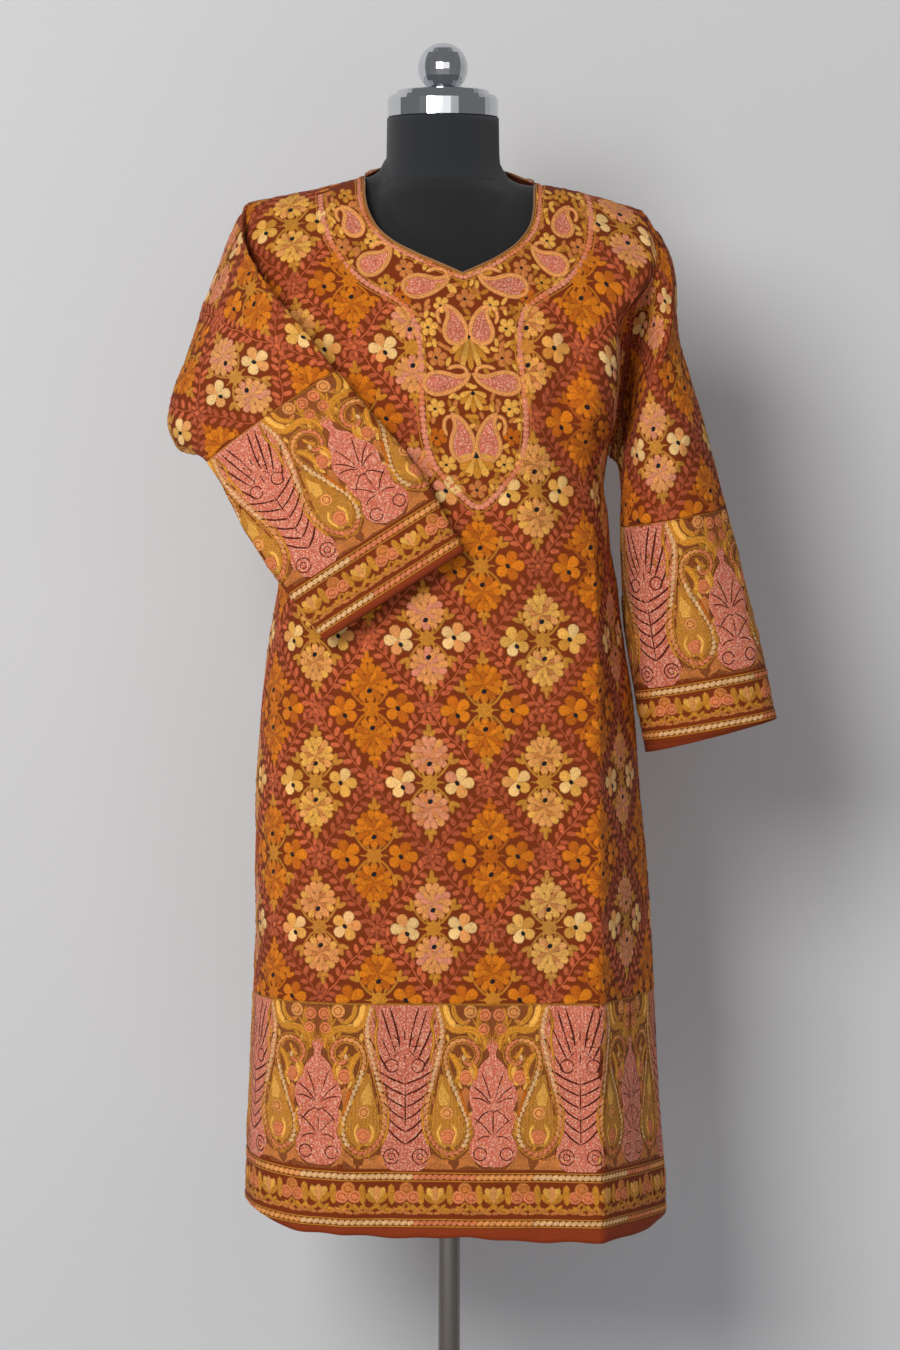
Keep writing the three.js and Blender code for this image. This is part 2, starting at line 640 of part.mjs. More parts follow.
// The dress form's trunk: rings up to its shoulders, which close along the shoulder line
function trunkGeometry() {
  const wide = track(FORM_TRUNK, "z", "wide");
  const depth = { front: track(FORM_TRUNK, "z", "front"), back: track(FORM_TRUNK, "z", "back") };
  const [left, right] = [NECK_BACK[0], NECK_BACK[NECK_BACK.length - 1]];
  const restLine = (x) => {
    const between = clamp((x - left[0]) / (right[0] - left[0]), 0, 1);
    return between > 0 && between < 1 ? lerp(left[1], right[1], between) : shoulderAt(x);
  };
  const ridgeAt = (x) => {
    const end = FORM_ARM_X + 1;
    const past = clamp((Math.abs(x) - (end - FORM_ROUND_OFF)) / FORM_ROUND_OFF, 0, 1);
    const rounding = FORM_ROUND_OFF * (1 - Math.sqrt(1 - past * past));
    return restLine(x) - FORM_SHOULDER_DROP - rounding;
  };
  const ringAt = (z, climb) => {
    const ring = [];
    for (let i = 0; i < FORM_AROUND; i += 1) {
      const angle = (2 * Math.PI * i) / FORM_AROUND;
      const x = Math.cos(angle) * wide(z);
      const height = climb === null ? z : lerp(FORM_CAP_BASE, ridgeAt(x), climb);
      const face = Math.sin(angle) < 0 ? "front" : "back";
      const spread = depth[face](height) * Math.pow(Math.abs(Math.sin(angle)), 0.9);
      const close = climb === null ? 1 : lerp(1, FORM_RIDGE, climb * climb) * Math.sqrt(Math.max(0, 1 - climb * climb));
      ring.push(new THREE.Vector3(x, Math.sign(Math.sin(angle)) * spread * close, height));
    }
    return ring;
  };
  const rings = [];
  for (let j = 0; j <= FORM_ROWS; j += 1) rings.push(ringAt(lerp(FORM_BOTTOM, FORM_CAP_BASE, j / FORM_ROWS), null));
  for (let j = 1; j <= FORM_CAP_ROWS; j += 1) {
    const climb = Math.sin((Math.PI / 2) * (j / FORM_CAP_ROWS));
    rings.push(ringAt(lerp(FORM_CAP_BASE, 1440, climb), climb));
  }
  return rings;
}

// A solid of the boolean library, from a closed mesh
function toSolid(geometry) {
  const bare = geometry.clone();
  bare.deleteAttribute("normal");
  bare.deleteAttribute("uv");
  const merged = mergeVertices(bare, 1e-4);
  const index = merged.getIndex().array;
  const kept = [];
  for (let i = 0; i < index.length; i += 3) {
    const [a, b, c] = [index[i], index[i + 1], index[i + 2]];
    if (a !== b && b !== c && a !== c) kept.push(a, b, c);
  }
  const mesh = new wasm.Mesh({
    numProp: 3,
    vertProperties: new Float32Array(merged.getAttribute("position").array),
    triVerts: new Uint32Array(kept),
  });
  return new wasm.Manifold(mesh);
}

// A mesh geometry again, from a solid of the boolean library
function fromSolid(solid) {
  const mesh = solid.getMesh();
  const geometry = new THREE.BufferGeometry();
  geometry.setAttribute("position", new THREE.BufferAttribute(new Float32Array(mesh.vertProperties), 3));
  geometry.setIndex(new THREE.BufferAttribute(new Uint32Array(mesh.triVerts), 1));
  return geometry;
}

// A closed stack of rings with a flat fan at its foot; its last ring lies on a line
function ringStack(rings) {
  const count = rings[0].length;
  const positions = [];
  for (const ring of rings) for (const point of ring) positions.push(point.x, point.y, point.z);
  const foot = positions.length / 3;
  positions.push(0, 0, rings[0][0].z);
  const faces = [];
  for (let j = 0; j < rings.length - 1; j += 1) {
    for (let i = 0; i < count; i += 1) {
      const a = j * count + i;
      const b = j * count + ((i + 1) % count);
      faces.push(a, b, b + count, a, b + count, a + count);
    }
  }
  for (let i = 0; i < count; i += 1) faces.push(foot, (i + 1) % count, i);
  const geometry = new THREE.BufferGeometry();
  geometry.setAttribute("position", new THREE.Float32BufferAttribute(positions, 3));
  geometry.setIndex(faces);
  return geometry;
}

// A turned piece that stands upright, from a profile of radius and height
function turned(profile, segments) {
  const geometry = new THREE.LatheGeometry(profile.map(([r, z]) => new THREE.Vector2(r, z)), segments);
  geometry.rotateX(Math.PI / 2);
  return geometry;
}

// The dress form: trunk and neck in one cloth-covered body
function formGeometry() {
  const neck = turned([
    [0, 1290], [56, 1290], [69, 1340], [70, 1380], [69, 1411], [62, 1424], [58, 1437], [56.2, 1450],
    [NECK_RADIUS, NECK_TOP], [0, NECK_TOP],
  ], NECK_AROUND);
  neck.translate(NECK_X, NECK_Y, 0);
  return fromSolid(toSolid(ringStack(trunkGeometry())).add(toSolid(neck)));
}

// The neck's cap with its lower rim and upper step
function capGeometry() {
  const foot = NECK_TOP + TOUCH_GAP;
  return turned([
    [0, foot], [CAP_RADIUS - 1, foot], [CAP_RADIUS, foot + 1], [CAP_RADIUS, CAP_STEP - 4], [CAP_RADIUS - 2, CAP_STEP],
    [CAP_STEP_RADIUS, CAP_STEP + 1], [CAP_STEP_RADIUS - 1.5, CAP_TOP - 1], [CAP_STEP_RADIUS - 4, CAP_TOP], [0, CAP_TOP],
  ], NECK_AROUND);
}

// The ball on the cap, with the short foot that screws into it
function ballGeometry() {
  const foot = CAP_TOP + TOUCH_GAP;
  const profile = [[0, foot]];
  const start = Math.acos((BALL_Z - foot) / BALL_RADIUS);
  for (let i = 0; i < BALL_STEPS; i += 1) {
    const angle = lerp(start, Math.PI, i / BALL_STEPS);
    profile.push([BALL_RADIUS * Math.sin(angle), BALL_Z - BALL_RADIUS * Math.cos(angle)]);
  }
  profile.push([0, BALL_Z + BALL_RADIUS]);
  return turned(profile, 24);
}

// The base plate, a shallow disc with a boss for the pole
function baseGeometry() {
  return turned([
    [0, 0], [BASE_RADIUS - 2, 0], [BASE_RADIUS, 2], [BASE_RADIUS, BASE_HEIGHT - 3], [BASE_RADIUS - 4, BASE_HEIGHT],
    [BOSS_RADIUS + 6, BASE_HEIGHT + 3], [BOSS_RADIUS, BASE_HEIGHT + 5], [BOSS_RADIUS - 1, BOSS_HEIGHT], [0, BOSS_HEIGHT],
  ], 48);
}

// The pole, and the collar that clamps it under the form
function poleGeometry() {
  const foot = BOSS_HEIGHT + TOUCH_GAP;
  const top = FORM_BOTTOM - TOUCH_GAP;
  return turned([[0, foot], [POLE_RADIUS, foot], [POLE_RADIUS, top], [0, top]], 28);
}

function collarGeometry() {
  const inner = POLE_RADIUS + TOUCH_GAP;
  const top = FORM_BOTTOM - TOUCH_GAP;
  const foot = top - COLLAR_HEIGHT;
  return turned([
    [inner, foot], [COLLAR_RADIUS - 6, foot], [COLLAR_RADIUS - 6, top - 8], [COLLAR_RADIUS, top - 6], [COLLAR_RADIUS, top], [inner, top], [inner, foot],
  ], 28);
}

const group = new THREE.Group();

// Adds one named piece, placed by its own position
function addPiece(name, geometry, material, x = 0, y = 0) {
  const mesh = new THREE.Mesh(geometry, material);
  mesh.name = name;
  mesh.position.set(x, y, 0);
  group.add(mesh);
}

addPiece("front_panel", wallGeometry(frontOuter, frontInner, false), clothMaterial);
addPiece("back_panel", wallGeometry(backOuter, backInner, false), clothMaterial);
addPiece("hanging_sleeve", sleeveWall(hanging, rightArmhole.outward, true), clothMaterial);
addPiece("laid_sleeve", sleeveWall(laid, leftArmhole.outward, false), clothMaterial);
addPiece("neck_binding", neckBinding(), bindingMaterial);
addPiece("form_torso", formGeometry(), formMaterial);
addPiece("neck_cap", capGeometry(), chromeMaterial, NECK_X, NECK_Y);
addPiece("finial_ball", ballGeometry(), chromeMaterial, NECK_X, NECK_Y);
addPiece("pole", poleGeometry(), chromeMaterial);
addPiece("pole_collar", collarGeometry(), steelMaterial);
addPiece("base_plate", baseGeometry(), steelMaterial);

export default group;
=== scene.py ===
# An embroidered pheran on a limbless dress form with a stand.
# Lengths in the tables are millimetres, with +Z up and the garment's front facing -Y.
import math

import bmesh
import bpy
import numpy as np
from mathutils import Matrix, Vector
from mathutils.bvhtree import BVHTree


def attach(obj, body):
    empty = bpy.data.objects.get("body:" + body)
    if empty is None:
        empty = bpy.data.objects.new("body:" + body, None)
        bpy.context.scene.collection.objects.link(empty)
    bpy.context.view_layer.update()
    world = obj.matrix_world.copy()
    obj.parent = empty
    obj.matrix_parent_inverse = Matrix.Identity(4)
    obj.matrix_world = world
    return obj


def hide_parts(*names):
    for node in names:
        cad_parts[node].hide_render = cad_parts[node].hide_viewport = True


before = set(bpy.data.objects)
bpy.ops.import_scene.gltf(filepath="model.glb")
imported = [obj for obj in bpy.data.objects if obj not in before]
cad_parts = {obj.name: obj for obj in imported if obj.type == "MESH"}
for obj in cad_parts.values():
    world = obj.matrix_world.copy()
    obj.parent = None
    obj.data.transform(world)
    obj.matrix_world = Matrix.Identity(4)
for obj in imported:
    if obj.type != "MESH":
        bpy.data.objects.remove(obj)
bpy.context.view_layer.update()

MM = 0.001
SAME_PLACE = 1e-6
SEED = 12

# Cloth: the shown wall, the gap at a seam, how far layers lie apart, the CAD's wall, and the puckers' height
CLOTH = 1.3
SEAM_GAP = 0.4
LAY_GAP = 1.2
CAD_CLOTH = 1.5
PUCKER = 0.9

# The shares of a piece over which puckers die out: at its sides, at a sleeve's seam and at its top
SIDE_FADE = 0.05
SEAM_FADE = 0.04
TOP_FADE = 0.05

# Heights of the underarm and of where the shoulders start to round over
UNDERARM = 1155
CAP_BASE = 1230

# Fineness of the cloth's grids, of its smooth lines and of the table of its flat places
SKIRT_ROWS = 150
ARM_ROWS = 46
SHOULDER_COLUMNS = 20
NECK_COLUMNS = 36
SLEEVE_ROWS = 96
LINE_STEPS = 40
FLAT_LOW, FLAT_HIGH, FLAT_STEP = 376, 1486, 3.0
FLAT_COLUMNS = 241

# The body's two sides: x of the side seam or the armhole, and y there of each panel's edge
RIGHT_SIDE = {
    "z": [
        380, 420, 510, 610, 710, 810, 902, 982, 1028, 1062, 1097,
        1122, 1155, 1189, 1229, 1284, 1302, 1320, 1346, 1366, 1398,
    ],
    "x": [
        219, 218, 211, 206, 201, 192, 184.5, 172.5, 167, 160.5, 158,
        154, 158, 163, 166, 168, 181, 195, 204, 203, 191,
    ],
    "front": [8, 8, 9, 10, 10, 10, 8, 6, 5, 5, 5, 5, 5, -58, -74, -75, -71, -67, -60, -50, -44],
    "back": [8, 8, 9, 10, 10, 10, 8, 6, 5, 5, 5, 5, 5, 48, 60, 63, 62, 60, 56, 50, 44],
}
LEFT_SIDE = {
    "z": [380, 420, 500, 560, 700, 800, 880, 960, 1020, 1090, 1155, 1189, 1229, 1284, 1320, 1346, 1368, 1405],
    "x": [
        -207, -204, -201, -198, -193, -193, -189, -181, -171, -161,
        -158, -163, -166, -171, -184, -196, -203, -199,
    ],
    "front": [24, 24, 23, 22, 20, 17, 14, 10, 8, 6, 5, -58, -74, -75, -68, -60, -50, -44],
    "back": [24, 24, 23, 22, 20, 17, 14, 10, 8, 6, 5, 48, 60, 63, 60, 56, 50, 44],
}

# Depth of the middle of each panel, and how square its section is (2 is an ellipse)
MIDDLE = {
    "z": [380, 560, 700, 850, 1010, 1080, 1155, 1210, 1284, 1337, 1375, 1440],
    "front": [-130, -127, -125, -123, -123, -125, -127, -125, -117, -106, -98, -92],
    "back": [112, 112, 112, 110, 101, 99, 99, 101, 104, 105, 106, 106],
    "square": [4.2, 3.9, 3.5, 3.1, 2.8, 2.6, 2.5, 2.4, 2.4, 2.4, 2.4, 2.4],
}

# The shoulder line, the two halves of the front neckline, and the back neckline
SHOULDER_LINE = {
    "x": [-199, -85, -62, -30, -3, 27, 60, 86, 115, 191],
    "z": [1405, 1431, 1446, 1472, 1480, 1470, 1440, 1424, 1419, 1398],
}
NECK_LEFT = [
    (-85, 1431), (-84, 1406), (-79, 1390), (-69.5, 1374.5), (-53, 1360.7), (-32.3, 1350), (-9, 1339.6),
    (13.2, 1330),
]
NECK_RIGHT = [
    (13.2, 1330), (27.8, 1336.2), (48.6, 1346.8), (68.3, 1361), (80.6, 1377.5), (84.6, 1393), (86, 1424),
]
NECK_BACK = [(-85, 1431), (-66, 1440), (-30, 1438), (0, 1436), (28, 1437), (54, 1437), (86, 1424)]

# The hem from side to side, and how far the cloth above it is carried up there
FRONT_HEM = {
    "across": [-1, -0.93, -0.82, -0.65, 0, 0.5, 0.7, 0.88, 1],
    "z": [418, 412, 403, 395.5, 391, 386.5, 384.5, 385, 393],
}
BACK_HEM = {"across": [-1, -0.7, 0, 0.7, 1], "z": [418, 406, 400, 394, 393]}
HEM_WAVE = 1.1
HEM_RISE = {"across": [-1, -0.8, -0.5, 0, 0.7, 1], "rise": [10, 4, 1, 0, -2, -7]}
RISE_LOW = 455
RISE_HIGH = 700

# The pressed crease between the skirt's flat front and its right side
CREASE = {
    "z": [380, 590, 850, 1033, 1100, 1150],
    "x": [151, 149, 146, 143, 141, 140],
    "press": [1, 1, 0.9, 0.7, 0.2, 0],
}
CREASE_DROP = 0.03
CREASE_BOW = 0.8

# Large folds: ends of the line, height and width; an open one runs out through the hem
FRONT_FOLDS = [
    ((-103, 380), (-96, 760), 4, 26, True),
    ((-146, 380), (-150, 900), 5, 18, True),
    ((122, 1080), (160, 1310), 8, 14, False),
    ((92, 1100), (132, 1330), -6, 14, False),
    ((52, 930), (108, 1210), 5, 20, False),
]

# Small soft creases over them, ends of each line, height and width
FRONT_CREASES = [
    ((-104, 384), (-103, 560), 1.6, 4, True),
    ((-60, 384), (-70, 640), -1.2, 16, True),
    ((26, 384), (34, 700), 1.2, 22, True),
    ((92, 384), (88, 560), -1.3, 15, True),
    ((186, 384), (178, 640), 1.8, 10, True),
    ((-172, 640), (-158, 980), 2.2, 12, False),
    ((-128, 700), (-120, 1010), -1.6, 14, False),
    ((112, 960), (150, 1190), 2.6, 9, False),
    ((128, 1000), (158, 1120), -2.4, 6, False),
    ((70, 1190), (110, 1300), 1.8, 10, False),
    ((136, 1150), (152, 1260), 2.4, 6, False),
    ((-150, 1330), (-112, 1398), 1.5, 12, False),
    ((100, 1330), (150, 1386), -1.6, 12, False),
    ((10, 1000), (60, 1150), -1.4, 16, False),
]
BACK_CREASES = [
    ((-140, 396), (-128, 900), 5, 22, True),
    ((-84, 396), (-70, 760), -4, 20, True),
    ((-22, 396), (-14, 840), 4.5, 24, True),
    ((44, 396), (36, 720), -4, 18, True),
    ((98, 396), (84, 930), 5, 22, True),
    ((156, 396), (150, 700), -3, 14, True),
    ((-110, 960), (-60, 1240), 3, 18, False),
    ((120, 930), (76, 1200), 3, 18, False),
    ((0, 1060), (4, 1320), -2, 20, False),
    ((-140, 1180), (-96, 1330), -2.4, 12, False),
    ((138, 1160), (104, 1320), -2.4, 12, False),
]

# The hanging sleeve: its outer line, its inner line under the arm, its middle and its depth
HANGING_SLEEVE = [
    (191, 1398, 158, 1155, -6, 70),
    (221, 1350, 163, 1151, 0, 74),
    (228, 1276, 168, 1146, 2, 76),
    (243, 1222, 170.5, 1136, 3, 76),
    (258, 1172, 172, 1116, 4, 74),
    (275, 1105, 171.5, 1077, 4, 68),
    (293.5, 1035, 173.5, 1024, 4, 60),
    (312, 962, 180, 955, 3, 50),
    (328, 892, 196.5, 858, 0, 40),
]

# The dark valley where the hanging sleeve drops in front of its armhole
VALLEY = {
    "z": [1130, 1151, 1196, 1240, 1285, 1312, 1332],
    "x": [165, 166, 175, 180, 187, 194, 199],
    "depth": [0, 38, 68, 66, 52, 22, 0],
    "width": [6, 8, 11, 13, 13, 12, 12],
}

# The sleeve laid across the front, by its top line, its front fold, its under line and its outer fold
LAID_SLEEVE = [
    [(-199, 0, 1405), (-172, -71, 1285), (-158, 5, 1155), (-176, 60, 1285)],
    [(-213, -34, 1368), (-176, -98, 1303), (-178, -50, 1168), (-214, 42, 1262)],
    [(-226, -84, 1314), (-163, -119, 1294), (-188, -88, 1188), (-246, 14, 1214)],
    [(-214, -130, 1256), (-143, -132, 1262), (-186, -110, 1196), (-276, -36, 1160)],
    [(-166, -150, 1182), (-93, -139, 1216), (-160, -126, 1180), (-233, -92, 1145)],
    [(-110, -157, 1100), (-27, -140, 1141), (-108, -133, 1100), (-181, -128, 1060)],
    [(-54, -158, 1019), (15.5, -141, 1063), (-54, -137, 1017), (-120, -137, 976)],
]

# Sleeve creases: both ends, as shares along from the armhole and around from the top line, height and width
HANGING_CREASES = [
    ((0.10, 0.16), (0.34, 0.34), 5, 11),
    ((0.20, 0.30), (0.46, 0.10), -3, 12),
    ((0.42, 0.12), (0.62, 0.38), 2.4, 12),
    ((0.55, 0.05), (0.95, 0.10), 2.2, 14),
    ((0.60, 0.30), (0.98, 0.26), -2.0, 12),
    ((0.15, 0.70), (0.45, 0.88), 4, 14),
    ((0.50, 0.66), (0.95, 0.74), -3, 14),
]
LAID_CREASES = [
    ((0.18, 0.02), (0.42, 0.20), -3, 12),
    ((0.26, 0.88), (0.44, 0.06), 3.2, 13),
    ((0.34, 0.92), (0.50, 0.12), -2.2, 11),
    ((0.12, 0.80), (0.38, 0.72), 4, 14),
]
# How a sleeve grows out of its armhole, how square its rings are, and how its cuff slants
ARMHOLE_BLEND = [1, 0.62, 0.28, 0.08]
SLEEVE_SQUARE, LYING_SQUARE = 2.1, 2.6
LYING_RING = 3
LYING_ROW = int(SLEEVE_ROWS * 0.36)
BESIDE_ROW = 2
BESIDE_REACH = 1.03
CUFF_SLANT = 11

# The dress form: half widths and depths of its trunk, and its turned neck by radius and height
FORM_TRUNK = {
    "z": [740, 850, 940, 1010, 1110, 1210, 1284, 1337, 1440],
    "wide": [158, 168, 150, 132, 140, 148, 152, 160, 168],
    "front": [98, 104, 98, 94, 106, 110, 96, 84, 76],
    "back": [102, 103, 90, 82, 84, 90, 92, 92, 90],
}
FORM_BOTTOM, FORM_CAP_BASE, FORM_TOP = 740, 1250, 1440
FORM_DROP, FORM_RIDGE, FORM_ROUND_OFF, FORM_ARM_X, FORM_BLUNT = 2.1, 0.75, 22, 168, 0.9
FORM_ROWS, FORM_CAP_ROWS, FORM_AROUND = 24, 36, 192
NECK_PROFILE = {
    "z": [1290, 1340, 1380, 1411, 1424, 1437, 1450, 1488],
    "radius": [56, 69, 70, 69, 62, 58, 56.2, 55.5],
}
NECK_AT = (-6, -4)
NECK_SEAM = 1425
NECK_SEAM_DENT = 0.7

# How far the form's shoulder climbs beside its neck, and how softly its chest runs into the neck
NECK_FLARE = {"out": [0, 56, 59.3, 62.4, 69.6, 76, 86], "rise": [23, 23, 16, 9.5, 4, 1.4, 0]}
CHEST_BLEND = 16
NECK_SKIN = 1

# Centre-front line: x at each height
CENTRE_LINE = {"z": [380, 700, 1100, 1337, 1420], "x": [44, 41, 29, 14, 3]}


def lerp(a, b, t):
    return a + (b - a) * t


def cross_2d(a, b):
    return a[..., 0] * b[..., 1] - a[..., 1] * b[..., 0]


def smoothstep(t, low, high):
    s = np.clip((t - low) / (high - low), 0, 1)
    return s * s * (3 - 2 * s)


def unit(vectors):
    return vectors / np.maximum(np.linalg.norm(vectors, axis=-1, keepdims=True), 1e-9)


# How far along a line each of its points lies
def line_lengths(points):
    return np.concatenate([[0], np.cumsum(np.linalg.norm(np.diff(points, axis=0), axis=1))])


# Even steps along a line, and the line's other values there
def at_steps(points, lengths, count):
    goals = np.linspace(0, lengths[-1], count + 1)
    return np.stack([np.interp(goals, lengths, points[:, k]) for k in range(points.shape[1])], axis=1)


# A smooth curve through a table's rows that never swings past them
def track(table, key, value):
    at = np.array(table[key], float)
    to = np.array(table[value], float)
    rise = np.diff(to) / np.diff(at)
    before = np.concatenate([rise[:1], rise])
    after = np.concatenate([rise, rise[-1:]])
    same = before * after > 0
    slope = np.where(same, 2 * before * after / np.where(same, before + after, 1), 0)

    def value_at(where):
        w = np.clip(where, at[0], at[-1])
        i = np.clip(np.searchsorted(at, w, side="right") - 1, 0, len(at) - 2)
        span = at[i + 1] - at[i]
        t = (w - at[i]) / span
        start = (1 + 2 * t) * (1 - t) ** 2 * to[i] + t * (1 - t) ** 2 * span * slope[i]
        return start + t * t * (3 - 2 * t) * to[i + 1] + t * t * (t - 1) * span * slope[i + 1]

    return value_at


SIDES = {
    "left": {key: track(LEFT_SIDE, "z", key) for key in ("x", "front", "back")},
    "right": {key: track(RIGHT_SIDE, "z", key) for key in ("x", "front", "back")},
}
middle = {face: track(MIDDLE, "z", face) for face in ("front", "back")}
square_at = track(MIDDLE, "z", "square")
shoulder_at = track(SHOULDER_LINE, "x", "z")
hem_at = {"front": track(FRONT_HEM, "across", "z"), "back": track(BACK_HEM, "across", "z")}
hem_rise = track(HEM_RISE, "across", "rise")
crease_x = track(CREASE, "z", "x")
crease_press = track(CREASE, "z", "press")
centre_x = track(CENTRE_LINE, "z", "x")
valley = {key: track(VALLEY, "z", key) for key in ("x", "depth", "width")}


def across_at(x, z):
    left = SIDES["left"]["x"](z)
    return 2 * (x - left) / (SIDES["right"]["x"](z) - left) - 1


# How far a section has risen from its side to its full depth, 0 to 1
def section_rise(across, z, face):
    power = square_at(z)
    rounded = np.maximum(0, 1 - np.abs(across) ** power) ** (1 / power)
    if face == "back":
        return rounded
    edge = across_at(crease_x(z), z)
    beyond = np.maximum(0, (1 - across) / (1 - edge))
    before_edge = 1 - CREASE_DROP * across / edge
    past_edge = (1 - CREASE_DROP) * beyond ** CREASE_BOW
    facets = np.where(across < edge, before_edge, past_edge)
    return np.where(across < 0, rounded, lerp(rounded, facets, crease_press(z)))


# How far a list of soft folds stands out at points of a panel
def fold_height(folds, x, z):
    height = np.zeros_like(x)
    for low, high, tall, width, is_open in folds:
        share = np.clip((z - low[1]) / (high[1] - low[1]), 0, 1)
        line = lerp(low[0], high[0], share)
        fade = np.cos(math.pi / 2 * share) if is_open else np.sin(math.pi * share)
        height += tall * fade * np.exp(-(((x - line) / width) ** 2))
    return height


# Points of the body's outer surface, on its front or back face
def body_points(across, z, face, creased=True):
    share = (across + 1) / 2
    x = lerp(SIDES["left"]["x"](z), SIDES["right"]["x"](z), share)
    edge = lerp(SIDES["left"][face](z), SIDES["right"][face](z), share)
    y = lerp(edge, middle[face](z), section_rise(across, z, face))
    flat_edge = 1 - np.abs(across) ** 6
    if face == "front":
        y = y - fold_height(FRONT_FOLDS, x, z) * flat_edge
        if creased:
            y = y - fold_height(FRONT_CREASES, x, z) * flat_edge
    elif creased:
        y = y + fold_height(BACK_CREASES, x, z) * flat_edge
    ridge = np.maximum(shoulder_at(x), CAP_BASE + 1)
    climb = np.clip((z - CAP_BASE) / (ridge - CAP_BASE), 0, 1)
    y = y * np.sqrt(1 - climb * climb)
    return np.stack([x, y, z + np.zeros_like(x)], axis=-1)


# A smooth line through points: centripetal and evenly stepped when even is true, else plain
def smooth_line(points, count, even):
    p = np.array(points, float)
    p = np.vstack([2 * p[0] - p[1], p, 2 * p[-1] - p[-2]])
    spans = len(p) - 3
    line = []
    for t in np.linspace(0, spans, spans * LINE_STEPS + 1 if even else count + 1):
        k = min(int(t), spans - 1)
        w = t - k
        a, b, c, d = p[k:k + 4]
        if even:
            gaps = [max(np.linalg.norm(v) ** 0.5, 1e-4) for v in (b - a, c - b, d - c)]
            start = ((b - a) / gaps[0] - (c - a) / (gaps[0] + gaps[1]) + (c - b) / gaps[1]) * gaps[1]
            end = ((c - b) / gaps[1] - (d - b) / (gaps[1] + gaps[2]) + (d - c) / gaps[2]) * gaps[1]
        else:
            start, end = (c - a) / 2, (d - b) / 2
        square = 3 * (c - b) - 2 * start - end
        cube = 2 * (b - c) + start + end
        line.append(b + start * w + square * w ** 2 + cube * w ** 3)
    line = np.array(line)
    return at_steps(line, line_lengths(line), count) if even else line


# Even steps along a typical section, so that the columns turn its corners well
def even_columns(count):
    power, aspect = 3.2, 1.5
    a = -np.cos(np.linspace(0, math.pi, 1001))
    rise = np.maximum(0, 1 - np.abs(a) ** power) ** (1 / power)
    lengths = line_lengths(np.stack([aspect * a, rise], axis=1))
    return at_steps(a[:, None], lengths, count)[:, 0]


# A panel's top edge: a shoulder, the neckline and the other shoulder, as x and z
def top_edge(neckline):
    first, last = neckline[0], neckline[-1]
    left = np.linspace(SHOULDER_LINE["x"][0], first[0], SHOULDER_COLUMNS + 1)[:-1]
    right = np.linspace(last[0], SHOULDER_LINE["x"][-1], SHOULDER_COLUMNS + 1)[1:]
    x = np.concatenate([left, neckline[:, 0], right])
    z = np.concatenate([shoulder_at(left), neckline[:, 1], shoulder_at(right)])
    return x, z


# Unit normals of a grid of points, facing the outside of the cloth
def grid_normals(grid, around=False):
    if around:
        over = np.roll(grid, -1, axis=1) - np.roll(grid, 1, axis=1)
    else:
        over = np.gradient(grid, axis=1)
    return unit(np.cross(over, np.gradient(grid, axis=0)))


# Flat sizes of a face: distance from the centre line at each height, and distance up at each x
class FlatFace:
    def __init__(self, face):
        self.sign = 1 if face == "front" else -1
        self.z = np.arange(FLAT_LOW, FLAT_HIGH, FLAT_STEP)
        self.across = np.linspace(-1, 1, FLAT_COLUMNS)
        z, across = np.meshgrid(self.z, self.across, indexing="ij")
        points = body_points(across, z, face, creased=False)
        steps = np.linalg.norm(np.diff(points[..., :2], axis=1), axis=2)
        along = np.concatenate([np.zeros((len(self.z), 1)), np.cumsum(steps, axis=1)], axis=1)
        lines = zip(centre_x(self.z), points[..., 0], along)
        self.u = along - np.array([np.interp(*line) for line in lines])[:, None]
        rises = np.hypot(np.diff(points[..., 1], axis=0), np.diff(points[..., 2], axis=0))
        rises[self.z[1:] <= UNDERARM] = FLAT_STEP
        up = np.concatenate([np.zeros((1, FLAT_COLUMNS)), np.cumsum(rises, axis=0)], axis=0) + self.z[0]
        fade = 1 - smoothstep(z, RISE_LOW, RISE_HIGH)
        self.v = up - hem_rise(across) * fade

    # The flat place of points given by their share across and their height
    def at(self, across, z):
        column = np.clip((across + 1) / 2, 0, 1) * (FLAT_COLUMNS - 1)
        row = np.clip((z - FLAT_LOW) / FLAT_STEP, 0, len(self.z) - 1.001)
        i = np.minimum(column.astype(int), FLAT_COLUMNS - 2)
        j = row.astype(int)
        s, t = column - i, row - j
        flat = []
        for table in (self.u, self.v):
            low = lerp(table[j, i], table[j, i + 1], s)
            high = lerp(table[j + 1, i], table[j + 1, i + 1], s)
            flat.append(lerp(low, high, t))
        return np.stack([flat[0] * self.sign, flat[1]], axis=-1)


FLAT = {face: FlatFace(face) for face in ("front", "back")}


# The shallow puckers that close stitching draws into the cloth
def pucker(flat):
    u, v = flat[..., 0], flat[..., 1]
    short = np.sin(u / 8.5 + 1.3 * np.sin(v / 23)) * np.sin(v / 10.5 + 1.1 * np.sin(u / 17))
    long = np.sin(u / 21 + v / 31 + 2) * np.sin(v / 27 - u / 35)
    return PUCKER * (0.55 * short + 0.45 * long)


